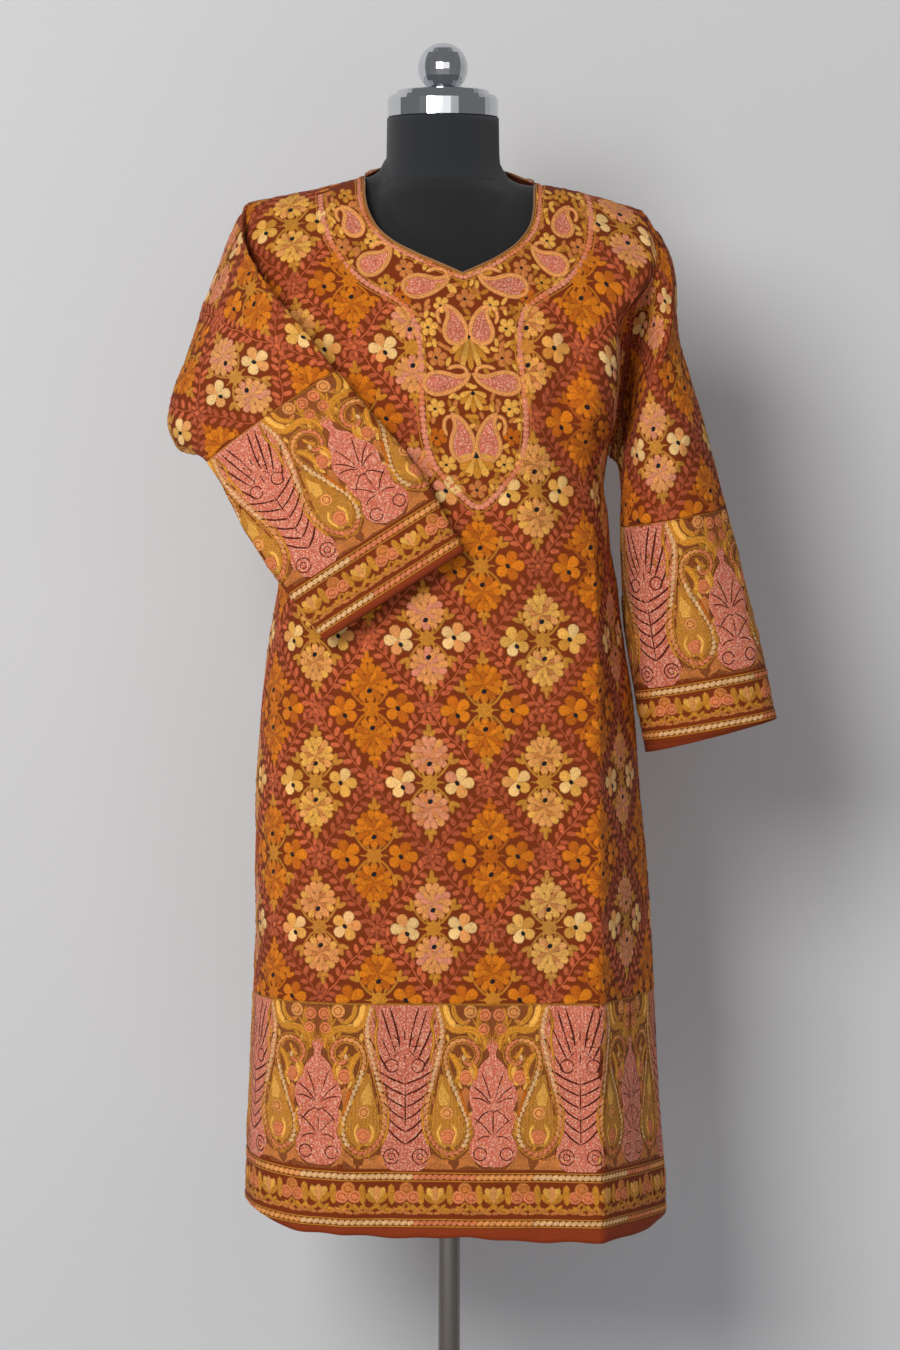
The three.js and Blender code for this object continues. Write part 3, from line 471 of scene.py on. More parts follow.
# One piece of cloth: its outer points in rows and columns, and where each lies in the flat cut
class Cloth:
    def __init__(self, grid, flat, around=False):
        rows = np.linspace(0, 1, grid.shape[0])[:, None]
        columns = np.linspace(0, 1, grid.shape[1])[None]
        top = smoothstep(1 - rows, 0, TOP_FADE)
        sides = smoothstep(np.minimum(columns, 1 - columns), 0, SEAM_FADE if around else SIDE_FADE)
        self.flat = flat
        self.around = around
        self.grid = grid + self.outward(grid) * (pucker(flat) * sides * top)[..., None]
        self.normals = self.outward(self.grid)

    # Unit normals of the piece; the last column of a closed one repeats its first
    def outward(self, grid):
        if not self.around:
            return grid_normals(grid)
        normals = grid_normals(grid[:, :-1], True)
        return np.concatenate([normals, normals[:, :1]], axis=1)

    # Prepares the search from flat places to the cloth
    def unfold(self):
        rows, columns = self.flat.shape[:2]
        index = np.arange(rows * columns).reshape(rows, columns)
        a, b = index[:-1, :-1].ravel(), index[:-1, 1:].ravel()
        c, d = index[1:, 1:].ravel(), index[1:, :-1].ravel()
        self.triangles = np.vstack([np.stack([a, b, c], 1), np.stack([a, c, d], 1)])
        self.points2 = self.flat.reshape(-1, 2)
        flat3 = np.column_stack([self.points2, np.zeros(len(self.points2))])
        self.tree = BVHTree.FromPolygons(flat3.tolist(), self.triangles.tolist())

    # Places flat points on the cloth at a lift, and says how far outside the cut each one is
    def place(self, flat, lift):
        if not hasattr(self, "tree"):
            self.unfold()
        nearest = [self.tree.find_nearest((u, v, 0)) for u, v in flat]
        found = np.array([hit[0][:2] for hit in nearest])
        corners = self.triangles[[hit[2] for hit in nearest]]
        outside = np.array([hit[3] for hit in nearest])
        a, b, c = (self.points2[corners[:, k]] for k in range(3))
        area = cross_2d(b - a, c - a)
        area = np.where(np.abs(area) < 1e-9, 1e-9, area)
        wb = cross_2d(found - a, c - a) / area
        wc = cross_2d(b - a, found - a) / area
        weights = np.clip(np.stack([1 - wb - wc, wb, wc], 1), 0, 1)
        weights /= weights.sum(1, keepdims=True)
        points = (self.grid.reshape(-1, 3)[corners] * weights[..., None]).sum(1)
        normals = (self.normals.reshape(-1, 3)[corners] * weights[..., None]).sum(1)
        return points + unit(normals) * lift[:, None], outside


# A panel from its hem to its top edge
def make_panel(face, neckline):
    top_x, top_z = top_edge(neckline)
    columns = even_columns(len(top_x) - 1)
    high = across_at(top_x, top_z)
    high[0], high[-1] = columns[0], columns[-1]
    rows = SKIRT_ROWS + ARM_ROWS
    ripple = np.sin(10.3 * columns + 1) + 0.6 * np.sin(27 * columns)
    hem = hem_at[face](columns) + HEM_WAVE * ripple * (1 - columns ** 6)
    across, z = [], []
    for j in range(rows + 1):
        upper = j - SKIRT_ROWS
        if upper <= 0:
            z.append(lerp(hem, UNDERARM, j / SKIRT_ROWS))
        else:
            z.append(lerp(UNDERARM, top_z, math.sin(math.pi / 2 * upper / ARM_ROWS)))
        across.append(lerp(columns, high, smoothstep(j / rows, 0.35, 1)))
    across, z = np.array(across), np.array(z)
    grid = body_points(across, z, face)
    grid[..., 1] += -SEAM_GAP / 2 if face == "front" else SEAM_GAP / 2
    flat = FLAT[face].at(across, z)
    if face == "back":
        grid, flat = grid[:, ::-1], flat[:, ::-1]
    return Cloth(grid, flat)


# The armhole's loop from the shoulder tip down the front, under the arm and up the back
def armhole(is_right):
    front, back = PANELS["front"], PANELS["back"]
    front_column, back_column = (-1, 0) if is_right else (0, -1)
    top = SKIRT_ROWS + ARM_ROWS
    tip = (front.grid[top, front_column] + back.grid[top, back_column]) / 2
    under = (front.grid[SKIRT_ROWS, front_column] + back.grid[SKIRT_ROWS, back_column]) / 2
    down = front.grid[top - 1:SKIRT_ROWS:-1, front_column]
    up = slice(SKIRT_ROWS + 1, top)
    loop = np.vstack([tip[None], down, under[None], back.grid[up, back_column]])
    normals = np.vstack([front.normals[top:SKIRT_ROWS - 1:-1, front_column], back.normals[up, back_column]])
    chords = np.roll(loop, -1, axis=0) - np.roll(loop, 1, axis=0)
    return loop + unit(np.cross(normals, chords)) * (SEAM_GAP if is_right else -SEAM_GAP)


# An oval ring through four points: top, front, under and back
def oval_ring(top, front, under, back, power, count):
    top, front, under, back = (np.array(p, float) for p in (top, front, under, back))
    centre = (top + front + under + back) / 4
    angle = np.linspace(0, 2 * math.pi, count, endpoint=False)
    c = np.sign(np.cos(angle)) * np.abs(np.cos(angle)) ** (2 / power)
    s = np.sign(np.sin(angle)) * np.abs(np.sin(angle)) ** (2 / power)
    return centre + np.outer(c, (top - under) / 2) + np.outer(s, (front - back) / 2)


# The outer points of a sleeve that leaves its armhole loop and follows its rings
def sleeve_rows(loop, rings):
    blend = ARMHOLE_BLEND + [0] * len(rings)
    knots = np.array([ring + (loop - rings[0]) * blend[k] for k, ring in enumerate(rings)])
    lines = smooth_line(knots.reshape(len(rings), -1), SLEEVE_ROWS, False)
    return lines.reshape(SLEEVE_ROWS + 1, -1, 3)


# Adds the sleeve's own creases along its normals, fading out at both ends of each
def crease_sleeve(grid, creases, turn):
    rows, columns = grid.shape[:2]
    along = np.linspace(0, 1, rows)[:, None] + np.zeros((1, columns))
    around = np.arange(columns)[None] / columns + np.zeros((rows, 1))
    girth = np.linalg.norm(np.roll(grid, -1, axis=1) - grid, axis=2).sum(axis=1)[:, None]
    height = np.zeros((rows, columns))
    for start, end, tall, width in creases:
        share = np.clip((along - start[0]) / (end[0] - start[0]), 0, 1)
        bend = end[1] - start[1]
        bend -= round(bend)
        off = around - (start[1] + bend * share)
        off = (off - np.round(off)) * girth
        height += tall * np.sin(math.pi * share) * np.exp(-((off / width) ** 2))
    return grid + grid_normals(grid, True) * height[..., None] * turn


# Keeps a sleeve's points beside its armhole out of the body
def keep_beside(grid, last):
    rows = grid[BESIDE_ROW:last]
    z = rows[..., 2]
    across = across_at(rows[..., 0], z)
    inside = np.clip(across, -1, 1)
    before = body_points(inside, z, "front")[..., 1] - LAY_GAP - CAD_CLOTH
    behind = body_points(inside, z, "back")[..., 1] + LAY_GAP + CAD_CLOTH
    out = SEAM_GAP + CAD_CLOTH + LAY_GAP
    beside = np.where(across > 0, SIDES["right"]["x"](z) + out, SIDES["left"]["x"](z) - out)
    caught = (np.abs(across) < BESIDE_REACH) & (rows[..., 1] > before) & (rows[..., 1] < behind)
    rows[..., 0] = np.where(caught, beside, rows[..., 0])


# Keeps the part of a sleeve that lies over the front panel in front of it
def keep_before(grid, first):
    rows = grid[first:]
    across = across_at(rows[..., 0], rows[..., 2])
    before = body_points(np.clip(across, -1, 1), rows[..., 2], "front")[..., 1] - LAY_GAP - CAD_CLOTH
    rows[..., 1] = np.where(np.abs(across) < 1, np.minimum(rows[..., 1], before), rows[..., 1])


# Sinks the valley into a sleeve's front
def sink_valley(grid):
    y, z = grid[..., 1], grid[..., 2]
    within = (y <= 0) & (z >= VALLEY["z"][0]) & (z <= VALLEY["z"][-1])
    within[:1] = False
    off = (grid[..., 0] - valley["x"](z)) / valley["width"](z)
    grid[..., 1] += np.where(within, np.minimum(valley["depth"](z), -y) * np.exp(-off * off), 0)


# Gives a sleeve its flat places: u around from one of its lines, v up from the cuff
def sleeve_cloth(grid, turn, zero, cuff_offset):
    rows, columns = grid.shape[:2]
    half = columns // 2
    order = (np.arange(columns + 1) + half) % columns
    if turn < 0:
        order = order[::-1]
    around = grid[:, order]
    steps = np.linalg.norm(np.diff(around, axis=1), axis=2)
    u = np.concatenate([np.zeros((rows, 1)), np.cumsum(steps, axis=1)], axis=1)
    at_zero = list(order).index(zero)
    u -= u[:, at_zero:at_zero + 1]
    rise = np.linalg.norm(np.diff(grid, axis=0), axis=2)
    v = np.concatenate([np.cumsum(rise[::-1], axis=0)[::-1], np.zeros((1, columns))], axis=0)
    v = v + cuff_offset(np.arange(columns) * 2 * math.pi / columns)[None]
    flat = np.stack([u, v[:, order]], axis=-1)
    return Cloth(around[::-1], flat[::-1], around=True)


left_neck, right_neck = (smooth_line(line, NECK_COLUMNS, True) for line in (NECK_LEFT, NECK_RIGHT))
front_neck = np.vstack([left_neck, right_neck[1:]])
back_neck = smooth_line(NECK_BACK, 2 * NECK_COLUMNS, True)
PANELS = {"front": make_panel("front", front_neck), "back": make_panel("back", back_neck)}

# Sleeves
right_loop, left_loop = armhole(True), armhole(False)
around_count = len(right_loop)
hanging_rings = []
for out_x, out_z, in_x, in_z, mid_y, deep in HANGING_SLEEVE:
    mid_x, mid_z = (out_x + in_x) / 2, (out_z + in_z) / 2
    top, under = (out_x, mid_y, out_z), (in_x, mid_y, in_z)
    front, back = (mid_x, mid_y - deep, mid_z), (mid_x, mid_y + deep, mid_z)
    hanging_rings.append(oval_ring(top, front, under, back, SLEEVE_SQUARE, around_count))
laid_rings = [
    oval_ring(*row, SLEEVE_SQUARE if k < LYING_RING else LYING_SQUARE, around_count)
    for k, row in enumerate(LAID_SLEEVE)
]
hanging = sleeve_rows(right_loop, hanging_rings)
sink_valley(hanging)
hanging = crease_sleeve(hanging, HANGING_CREASES, 1)
keep_beside(hanging, SLEEVE_ROWS + 1)
laid = crease_sleeve(sleeve_rows(left_loop, laid_rings), LAID_CREASES, -1)
keep_beside(laid, LYING_ROW)
keep_before(laid, LYING_ROW)
HANGING = sleeve_cloth(hanging, -1, around_count // 4, lambda angle: CUFF_SLANT * (1 + np.cos(angle)) / 2)
LAID = sleeve_cloth(laid, 1, 0, np.zeros_like)


# Puts a mesh, a lamp or a camera into the scene
def add_object(name, data):
    made = bpy.data.objects.new(name, data)
    bpy.context.scene.collection.objects.link(made)
    return made


# Makes a mesh of a finished bmesh
def mesh_from(bm, name):
    mesh = bpy.data.meshes.new(name)
    bm.to_mesh(mesh)
    bm.free()
    return mesh


# Makes a mesh object from arrays: points in millimetres, faces, a colour and a stitch place for each corner
def mesh_object(name, points, faces, colours=None, stitch=None):
    mesh = bpy.data.meshes.new(name)
    faces = np.asarray(faces, np.int32)
    size = faces.shape[1]
    mesh.vertices.add(len(points))
    mesh.vertices.foreach_set("co", (np.asarray(points) * MM).astype(np.float32).ravel())
    mesh.loops.add(faces.size)
    mesh.loops.foreach_set("vertex_index", faces.ravel())
    mesh.polygons.add(len(faces))
    mesh.polygons.foreach_set("loop_start", np.arange(0, faces.size, size, dtype=np.int32))
    mesh.update(calc_edges=True)
    if colours is not None:
        layer = mesh.color_attributes.new("thread", "FLOAT_COLOR", "POINT")
        layer.data.foreach_set("color", np.asarray(colours, np.float32).ravel())
    if stitch is not None:
        layer = mesh.uv_layers.new(name="stitch")
        layer.data.foreach_set("uv", np.asarray(stitch, np.float32).ravel())
    mesh.polygons.foreach_set("use_smooth", np.ones(len(faces), bool))
    return add_object(name, mesh)


# The shown shell of one piece of cloth, with its flat place as a UV map in millimetres
def cloth_shell(name, cloth, material, node):
    rows, columns = cloth.grid.shape[:2]
    bm = bmesh.new()
    bmesh.ops.create_grid(bm, x_segments=columns - 1, y_segments=rows - 1, size=1)
    bm.verts.ensure_lookup_table()
    layer = bm.loops.layers.uv.new("flat")
    flat = cloth.flat.reshape(-1, 2)
    for face in bm.faces:
        face.smooth = True
        for loop in face.loops:
            loop[layer].uv = flat[loop.vert.index]
    for vertex, point in zip(bm.verts, cloth.grid.reshape(-1, 3) * MM):
        vertex.co = point
    if cloth.around:
        bmesh.ops.remove_doubles(bm, verts=bm.verts, dist=SAME_PLACE)
    mesh = mesh_from(bm, name)
    mesh.materials.append(material)
    piece = add_object(name, mesh)
    wall = piece.modifiers.new("wall", "SOLIDIFY")
    wall.thickness = CLOTH * MM
    wall.offset = -1
    wall.use_even_offset = False
    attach(piece, "root")
    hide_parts(node)
    return piece


# Colours are written as the eye reads them on a screen, 0 to 255
def shade(*rgb):
    return tuple(c / 255 / 12.92 if c <= 10 else ((c / 255 + 0.055) / 1.055) ** 2.4 for c in rgb)


def paint(*rgb):
    return (*shade(*rgb), 1)


# Adds a node with settings, and sets or links its inputs
def node(tree, kind, inputs=None, **settings):
    made = tree.nodes.new("ShaderNode" + kind)
    for key, value in settings.items():
        setattr(made, key, value)
    for key, value in (inputs or {}).items():
        if isinstance(value, bpy.types.NodeSocket):
            tree.links.new(value, made.inputs[key])
        else:
            made.inputs[key].default_value = value
    return made


def math_node(tree, operation, a, b=0.0, c=0.0):
    return node(tree, "Math", {0: a, 1: b, 2: c}, operation=operation).outputs[0]


def times(tree, a, b):
    return math_node(tree, "MULTIPLY", a, b)


# A value times a factor, and an offset
def times_plus(tree, value, factor, offset):
    return math_node(tree, "MULTIPLY_ADD", value, factor, offset)


def mix_colour(tree, factor, a, b, blend="MIX"):
    mixed = node(tree, "Mix", {0: factor, 6: a, 7: b}, data_type="RGBA", blend_type=blend)
    return mixed.outputs[2]


# A colour made lighter or darker by a value
def dimmed(tree, colour, value):
    grey = node(tree, "CombineColor", {0: value, 1: value, 2: value}).outputs[0]
    return mix_colour(tree, 1.0, colour, grey, "MULTIPLY")


def noise(tree, scale, detail, place=None, **inputs):
    if place is None:
        place = node(tree, "TexCoord").outputs["Object"]
    return node(tree, "TexNoise", {"Vector": place, "Scale": scale, "Detail": detail, **inputs}).outputs[0]


def new_material(name):
    material = bpy.data.materials.new(name)
    material.use_nodes = True
    material.node_tree.nodes.clear()
    return material, material.node_tree


# Gives a material its surface; a relief is a bump's height, strength and reach in metres
def finish_material(tree, relief=None, **inputs):
    named = {key.replace("_", " "): value for key, value in inputs.items()}
    if relief:
        bump = node(tree, "Bump", dict(zip(("Height", "Strength", "Distance"), relief)))
        named["Normal"] = bump.outputs[0]
    surface = node(tree, "BsdfPrincipled", named)
    node(tree, "OutputMaterial", {"Surface": surface.outputs[0]})


# A node group that takes sockets of the kinds named and puts out the numbers that work_out returns
def new_group(name, takes, work_out):
    group = bpy.data.node_groups.new(name, "ShaderNodeTree")
    for key, kind in takes.items():
        group.interface.new_socket(key, in_out="INPUT", socket_type="NodeSocket" + kind)
    results = work_out(group, group.nodes.new("NodeGroupInput").outputs)
    for key in results:
        group.interface.new_socket(key, in_out="OUTPUT", socket_type="NodeSocketFloat")
    end = group.nodes.new("NodeGroupOutput")
    for key, socket in results.items():
        group.links.new(socket, end.inputs[key])
    return group


# Rows of chain stitch: links along x and rows along y of a flat place in millimetres
def chain_height(group, given):
    wander = noise(group, 0.35, 1.0, given["Place"])
    place = node(group, "SeparateXYZ", {0: given["Place"]}).outputs
    rows = math_node(group, "DIVIDE", times_plus(group, wander, 0.9, place[1]), given["Row"])
    row = math_node(group, "FLOOR", rows)
    in_row = math_node(group, "FRACT", rows)
    off_middle = math_node(group, "ABSOLUTE", math_node(group, "SUBTRACT", in_row, 0.5))
    along = math_node(group, "DIVIDE", place[0], given["Link"])
    links = math_node(group, "ADD", along, times(group, row, 0.37))
    slanted = times_plus(group, off_middle, 0.8, links)
    link = math_node(group, "ABSOLUTE", math_node(group, "SINE", times(group, slanted, math.pi)))
    ridge = math_node(group, "SINE", times(group, in_row, math.pi))
    round_link = times_plus(group, link, 0.45, 0.55)
    return {"Height": times(group, math_node(group, "POWER", ridge, 0.6), round_link)}


# Uneven wear and dye of wool: slow patches and fine fibres, both around 0.5
def wool_wear(group, given):
    return {"Patches": noise(group, 14.0, 3.0), "Fibres": noise(group, 900.0, 2.0)}


chain_rows = new_group("chain_rows", {"Place": "Vector", "Row": "Float", "Link": "Float"}, chain_height)
wool_tone = new_group("wool_tone", {}, wool_wear)


# The height of chain stitch over a flat place, by the width of a row and the length of a link
def stitched(tree, place, row, link):
    inputs = {"Place": place, "Row": row, "Link": link}
    return node(tree, "Group", inputs, node_tree=chain_rows).outputs["Height"]


# Rust-brown wool ground, worked all over in rows of chain stitch, with painted shade in the grooves between
# its rows; plain cloth below the stitching
def ground_material(name, plain_below):
    material, tree = new_material(name)
    flat = node(tree, "UVMap", uv_map="flat").outputs[0]
    chain = stitched(tree, flat, 1.5, 2.6)
    tone = node(tree, "Group", node_tree=wool_tone).outputs
    up = node(tree, "SeparateXYZ", {0: flat}).outputs[1]
    worked = math_node(tree, "GREATER_THAN", up, plain_below)
    # Painted shade and highlight: the colour is darker in the grooves between chain-stitch rows and lighter
    # on their crests
    deep = mix_colour(tree, chain, paint(74, 26, 8), paint(144, 60, 18))
    dyed = mix_colour(tree, times(tree, tone["Patches"], 0.5), deep, paint(112, 42, 12))
    varied = mix_colour(tree, worked, paint(136, 54, 22), dyed)
    colour = dimmed(tree, varied, times_plus(tree, tone["Fibres"], 0.5, 0.75))
    height = times_plus(tree, tone["Fibres"], 0.4, times(tree, chain, worked))
    finish_material(
        tree, (height, 0.5, 0.0005),
        Base_Color=colour, Roughness=0.88, Specular_IOR_Level=0.15, Sheen_Weight=0.02)
    return material


# Embroidery wool: dyed by the shape's own colour, in rows of chain stitch, speckled pale where asked, darker
# towards each shape's rim, with painted shade in the grooves between its rows
def thread_material():
    material, tree = new_material("embroidery_threads")
    dye = node(tree, "Attribute", attribute_name="thread").outputs
    stitch = node(tree, "UVMap", uv_map="stitch").outputs[0]
    chain = stitched(tree, stitch, 1.35, 2.3)
    fibres = node(tree, "Group", node_tree=wool_tone).outputs["Fibres"]
    specks = math_node(tree, "GREATER_THAN", noise(tree, 560.0, 1.0), 0.55)
    paler = times(tree, times(tree, specks, dye["Alpha"]), 0.62)
    speckled = mix_colour(tree, paler, dye["Color"], paint(248, 190, 162))
    inset = node(tree, "SeparateXYZ", {0: stitch}).outputs[1]
    # Darker towards each shape's rim; painted shade and highlight: darker in the grooves between stitch rows,
    # lighter on their crests
    edge = math_node(tree, "MINIMUM", times_plus(tree, inset, 0.7, 0.42), 1.0)
    light = times(tree, edge, times_plus(tree, chain, 1.0, 0.36))
    colour = dimmed(tree, speckled, times(tree, light, times_plus(tree, fibres, 1.7, 0.16)))
    finish_material(
        tree, (times_plus(tree, fibres, 0.5, chain), 0.9, 0.0007),
        Base_Color=colour, Roughness=0.78, Specular_IOR_Level=0.2, Sheen_Weight=0.02)
    return material


# Black jersey: a fine knit, matt, a little lighter where it is stretched over the neck
def jersey_material():
    material, tree = new_material("black_jersey")
    place = node(tree, "TexCoord").outputs["Object"]
    tone = node(tree, "Group", node_tree=wool_tone).outputs
    x, y, z = node(tree, "SeparateXYZ", {0: place}).outputs
    wales = math_node(tree, "SINE", times(tree, math_node(tree, "ARCTAN2", y, x), 620.0))
    courses = math_node(tree, "SINE", times(tree, z, 5200.0))
    knit = times(tree, math_node(tree, "ADD", wales, 1.2), math_node(tree, "ADD", courses, 1.2))
    body = mix_colour(tree, tone["Patches"], paint(12, 12, 14), paint(19, 19, 22))
    on_neck = math_node(tree, "GREATER_THAN", z, NECK_SEAM * MM)
    colour = mix_colour(tree, on_neck, body, paint(26, 29, 33))
    height = times_plus(tree, tone["Fibres"], 0.6, times(tree, knit, 0.3))
    finish_material(
        tree, (height, 0.35, 0.0003),
        Base_Color=colour, Roughness=0.93, Sheen_Weight=0.12, Sheen_Roughness=0.6)
    return material


# Folded silk binding: fine threads and a low sheen
def binding_material():
    material, tree = new_material("binding_silk")
    tone = node(tree, "Group", node_tree=wool_tone).outputs
    colour = mix_colour(tree, tone["Patches"], paint(120, 70, 34), paint(168, 112, 58))
    finish_material(tree, (tone["Fibres"], 0.4, 0.0003), Base_Color=colour, Roughness=0.6, Sheen_Weight=0.2)
    return material


# Polished chrome with faint smears
def chrome_material(name, rgb):
    material, tree = new_material(name)
    rough = times_plus(tree, noise(tree, 22.0, 4.0, Distortion=0.6), 0.12, 0.05)
    finish_material(tree, Base_Color=paint(*rgb), Metallic=1.0, Roughness=rough)
    return material


# Satin steel: fine turned lines round the axis
def steel_material():
    material, tree = new_material("satin_steel")
    x, y, z = node(tree, "SeparateXYZ", {0: node(tree, "TexCoord").outputs["Object"]}).outputs
    flat_place = node(tree, "CombineXYZ", {0: x, 1: y}).outputs[0]
    radius = node(tree, "VectorMath", {0: flat_place}, operation="LENGTH").outputs["Value"]
    turned_at = math_node(tree, "ADD", radius, z)
    lines = node(tree, "TexNoise", {"W": turned_at, "Scale": 2600.0, "Detail": 2.0}, noise_dimensions="1D")
    patches = noise(tree, 9.0, 3.0)
    colour = mix_colour(tree, patches, paint(150, 152, 156), paint(178, 180, 184))
    finish_material(
        tree, (lines.outputs[0], 0.12, 0.0002),
        Base_Color=colour, Metallic=1.0, Roughness=times_plus(tree, patches, 0.16, 0.26))
    return material


BODY_WOOL = ground_material("rust_wool_body", 401.0)
SLEEVE_WOOL = ground_material("rust_wool_sleeve", 7.0)
THREADS = thread_material()
JERSEY = jersey_material()
BINDING = binding_material()
CHROME = chrome_material("polished_chrome", (208, 210, 214))
# Painted reflection: the pole's chrome is a darker copy of the cap's, its colour standing in for the darker
# reflections along the pole
POLE_CHROME_PAINTED_DARK = chrome_material("pole_chrome_painted_dark", (122, 116, 110))
STEEL = steel_material()


# The mesh of a closed tube of rings with both ends filled
def tube(rings):
    rows, columns = rings.shape[:2]
    bm = bmesh.new()
    bmesh.ops.create_grid(bm, x_segments=columns, y_segments=rows - 1, size=1)
    closed = np.concatenate([rings, rings[:, :1]], axis=1).reshape(-1, 3)
    for vertex, point in zip(bm.verts, closed * MM):
        vertex.co = point
    bmesh.ops.remove_doubles(bm, verts=bm.verts, dist=SAME_PLACE)
    bmesh.ops.holes_fill(bm, edges=[edge for edge in bm.edges if edge.is_boundary])
    bmesh.ops.recalc_face_normals(bm, faces=bm.faces)
    return mesh_from(bm, "tube")


# The larger of two depths, with a soft fillet where they are alike
def soft_max(a, b, reach):
    share = np.clip(0.5 + 0.5 * (b - a) / reach, 0, 1)
    return lerp(a, b, share) + reach * share * (1 - share)


# The form's trunk, closed along its shoulders
def trunk_rings(angle):
    trunk = {key: track(FORM_TRUNK, "z", key) for key in ("wide", "front", "back")}
    neck_radius = track(NECK_PROFILE, "z", "radius")
    flare = track(NECK_FLARE, "out", "rise")
    sine = np.sin(angle)
    blunt = np.abs(sine) ** FORM_BLUNT
    (left_x, left_z), (right_x, right_z) = NECK_BACK[0], NECK_BACK[-1]
    rings = []
    for row in range(FORM_ROWS + FORM_CAP_ROWS + 1):
        in_cap = row > FORM_ROWS
        climb = math.sin(math.pi / 2 * max(0, row - FORM_ROWS) / FORM_CAP_ROWS)
        up = row / FORM_ROWS
        z = lerp(FORM_CAP_BASE, FORM_TOP, climb) if in_cap else lerp(FORM_BOTTOM, FORM_CAP_BASE, up)
        x = np.cos(angle) * trunk["wide"](z)
        over_neck = np.interp(x, [left_x, right_x], [left_z, right_z])
        ridge = np.where((x > left_x) & (x < right_x), over_neck, shoulder_at(x))
        past = np.clip((np.abs(x) - (FORM_ARM_X + 1 - FORM_ROUND_OFF)) / FORM_ROUND_OFF, 0, 1)
        ridge = ridge - FORM_DROP - FORM_ROUND_OFF * (1 - np.sqrt(1 - past * past))
        ridge += flare(np.abs(x - NECK_AT[0]))
        height = lerp(FORM_CAP_BASE, ridge, climb) if in_cap else np.full(len(angle), z)
        spread = np.where(sine < 0, trunk["front"](height), trunk["back"](height)) * blunt
        spread = spread * lerp(1, FORM_RIDGE, climb * climb) * math.sqrt(max(0, 1 - climb * climb))
        radius = neck_radius(height) - NECK_SKIN
        neck_deep = np.sqrt(np.maximum(0, radius ** 2 - (x - NECK_AT[0]) ** 2))
        near = smoothstep(neck_deep, 0, CHEST_BLEND)
        joined = soft_max(spread, neck_deep - NECK_AT[1] * near, CHEST_BLEND * near + 1e-6)
        deep = np.where((height > NECK_PROFILE["z"][0]) & (sine < 0), joined, spread)
        rings.append(np.stack([x, np.sign(sine) * deep, height], axis=1))
    return np.array(rings)


# The form's turned neck, with a fine seam around it
def neck_rings(angle):
    low, high = NECK_PROFILE["z"][0], NECK_PROFILE["z"][-1]
    by_seam = NECK_SEAM + np.array([-1, 0, 1, 2])
    z = np.concatenate([np.linspace(low, NECK_SEAM - 2, 30), by_seam, np.linspace(NECK_SEAM + 4, high, 12)])
    radius = track(NECK_PROFILE, "z", "radius")(z) - NECK_SEAM_DENT * np.exp(-((z - NECK_SEAM) ** 2))
    x = NECK_AT[0] + np.outer(radius, np.cos(angle))
    y = NECK_AT[1] + np.outer(radius, np.sin(angle))
    return np.stack([x, y, np.repeat(z[:, None], len(angle), 1)], axis=2)


# The form's jersey cover: its trunk with the neck set into it
def form_cover():
    angle = np.linspace(0, 2 * math.pi, FORM_AROUND, endpoint=False)
    bm = bmesh.new()
    for part in (tube(trunk_rings(angle)), tube(neck_rings(angle))):
        bm.from_mesh(part)
        bpy.data.meshes.remove(part)
    for face in bm.faces:
        face.smooth = len(face.verts) <= 4
    mesh = mesh_from(bm, "form_cover")
    mesh.materials.append(JERSEY)
    piece = add_object("form_cover", mesh)
    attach(piece, "root")
    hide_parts("form_torso")


form_cover()

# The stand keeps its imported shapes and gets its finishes
for name, material in (
    ("neck_cap", CHROME), ("finial_ball", CHROME), ("pole", POLE_CHROME_PAINTED_DARK),
    ("pole_collar", STEEL), ("base_plate", STEEL),
):
    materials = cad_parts[name].data.materials
    materials.clear()
    materials.append(material)

# The rolled binding's section: how far each corner reaches in past the neck edge, and its lift off the cloth
BINDING_SECTION = [(0.4, 0.1), (1.0, 0.6), (1.9, 0.5), (2.5, -0.3), (2.1, -1.0), (1.0, -1.4), (0.4, -1.3)]


# The neck binding: a narrow rolled strip that carries the panels on past the neck edge
def binding_piece():
    front, back = PANELS["front"], PANELS["back"]
    columns = slice(SHOULDER_COLUMNS, SHOULDER_COLUMNS + 2 * NECK_COLUMNS + 1)
    inner = slice(SHOULDER_COLUMNS + 1, SHOULDER_COLUMNS + 2 * NECK_COLUMNS)
    edge = np.vstack([front.grid[-1, columns], back.grid[-1, inner]])
    out = np.vstack([front.normals[-1, columns], back.normals[-1, inner]])
    along = np.roll(edge, -1, axis=0) - np.roll(edge, 1, axis=0)
    inward = unit(np.cross(out, along))
    rings = np.array([edge + inward * reach_in + out * lift for reach_in, lift in BINDING_SECTION])
    count = len(edge)
    faces = []
    for k in range(len(BINDING_SECTION)):
        for i in range(count):
            beside, above = (i + 1) % count, (k + 1) % len(BINDING_SECTION)
            faces.append((k * count + i, above * count + i, above * count + beside, k * count + beside))
    piece = mesh_object("neck_binding_strip", rings.reshape(-1, 3), faces)
    bm = bmesh.new()
    bm.from_mesh(piece.data)
    bmesh.ops.recalc_face_normals(bm, faces=bm.faces)
    bm.to_mesh(piece.data)
    bm.free()
    piece.data.materials.append(BINDING)
    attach(piece, "root")
    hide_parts("neck_binding")
    return piece


binding = binding_piece()
front_panel = cloth_shell("front_panel_cloth", PANELS["front"], BODY_WOOL, "front_panel")
back_panel = cloth_shell("back_panel_cloth", PANELS["back"], BODY_WOOL, "back_panel")
hanging_sleeve = cloth_shell(
    "hanging_sleeve_cloth", HANGING, SLEEVE_WOOL, "hanging_sleeve")
laid_sleeve = cloth_shell("laid_sleeve_cloth", LAID, SLEEVE_WOOL, "laid_sleeve")

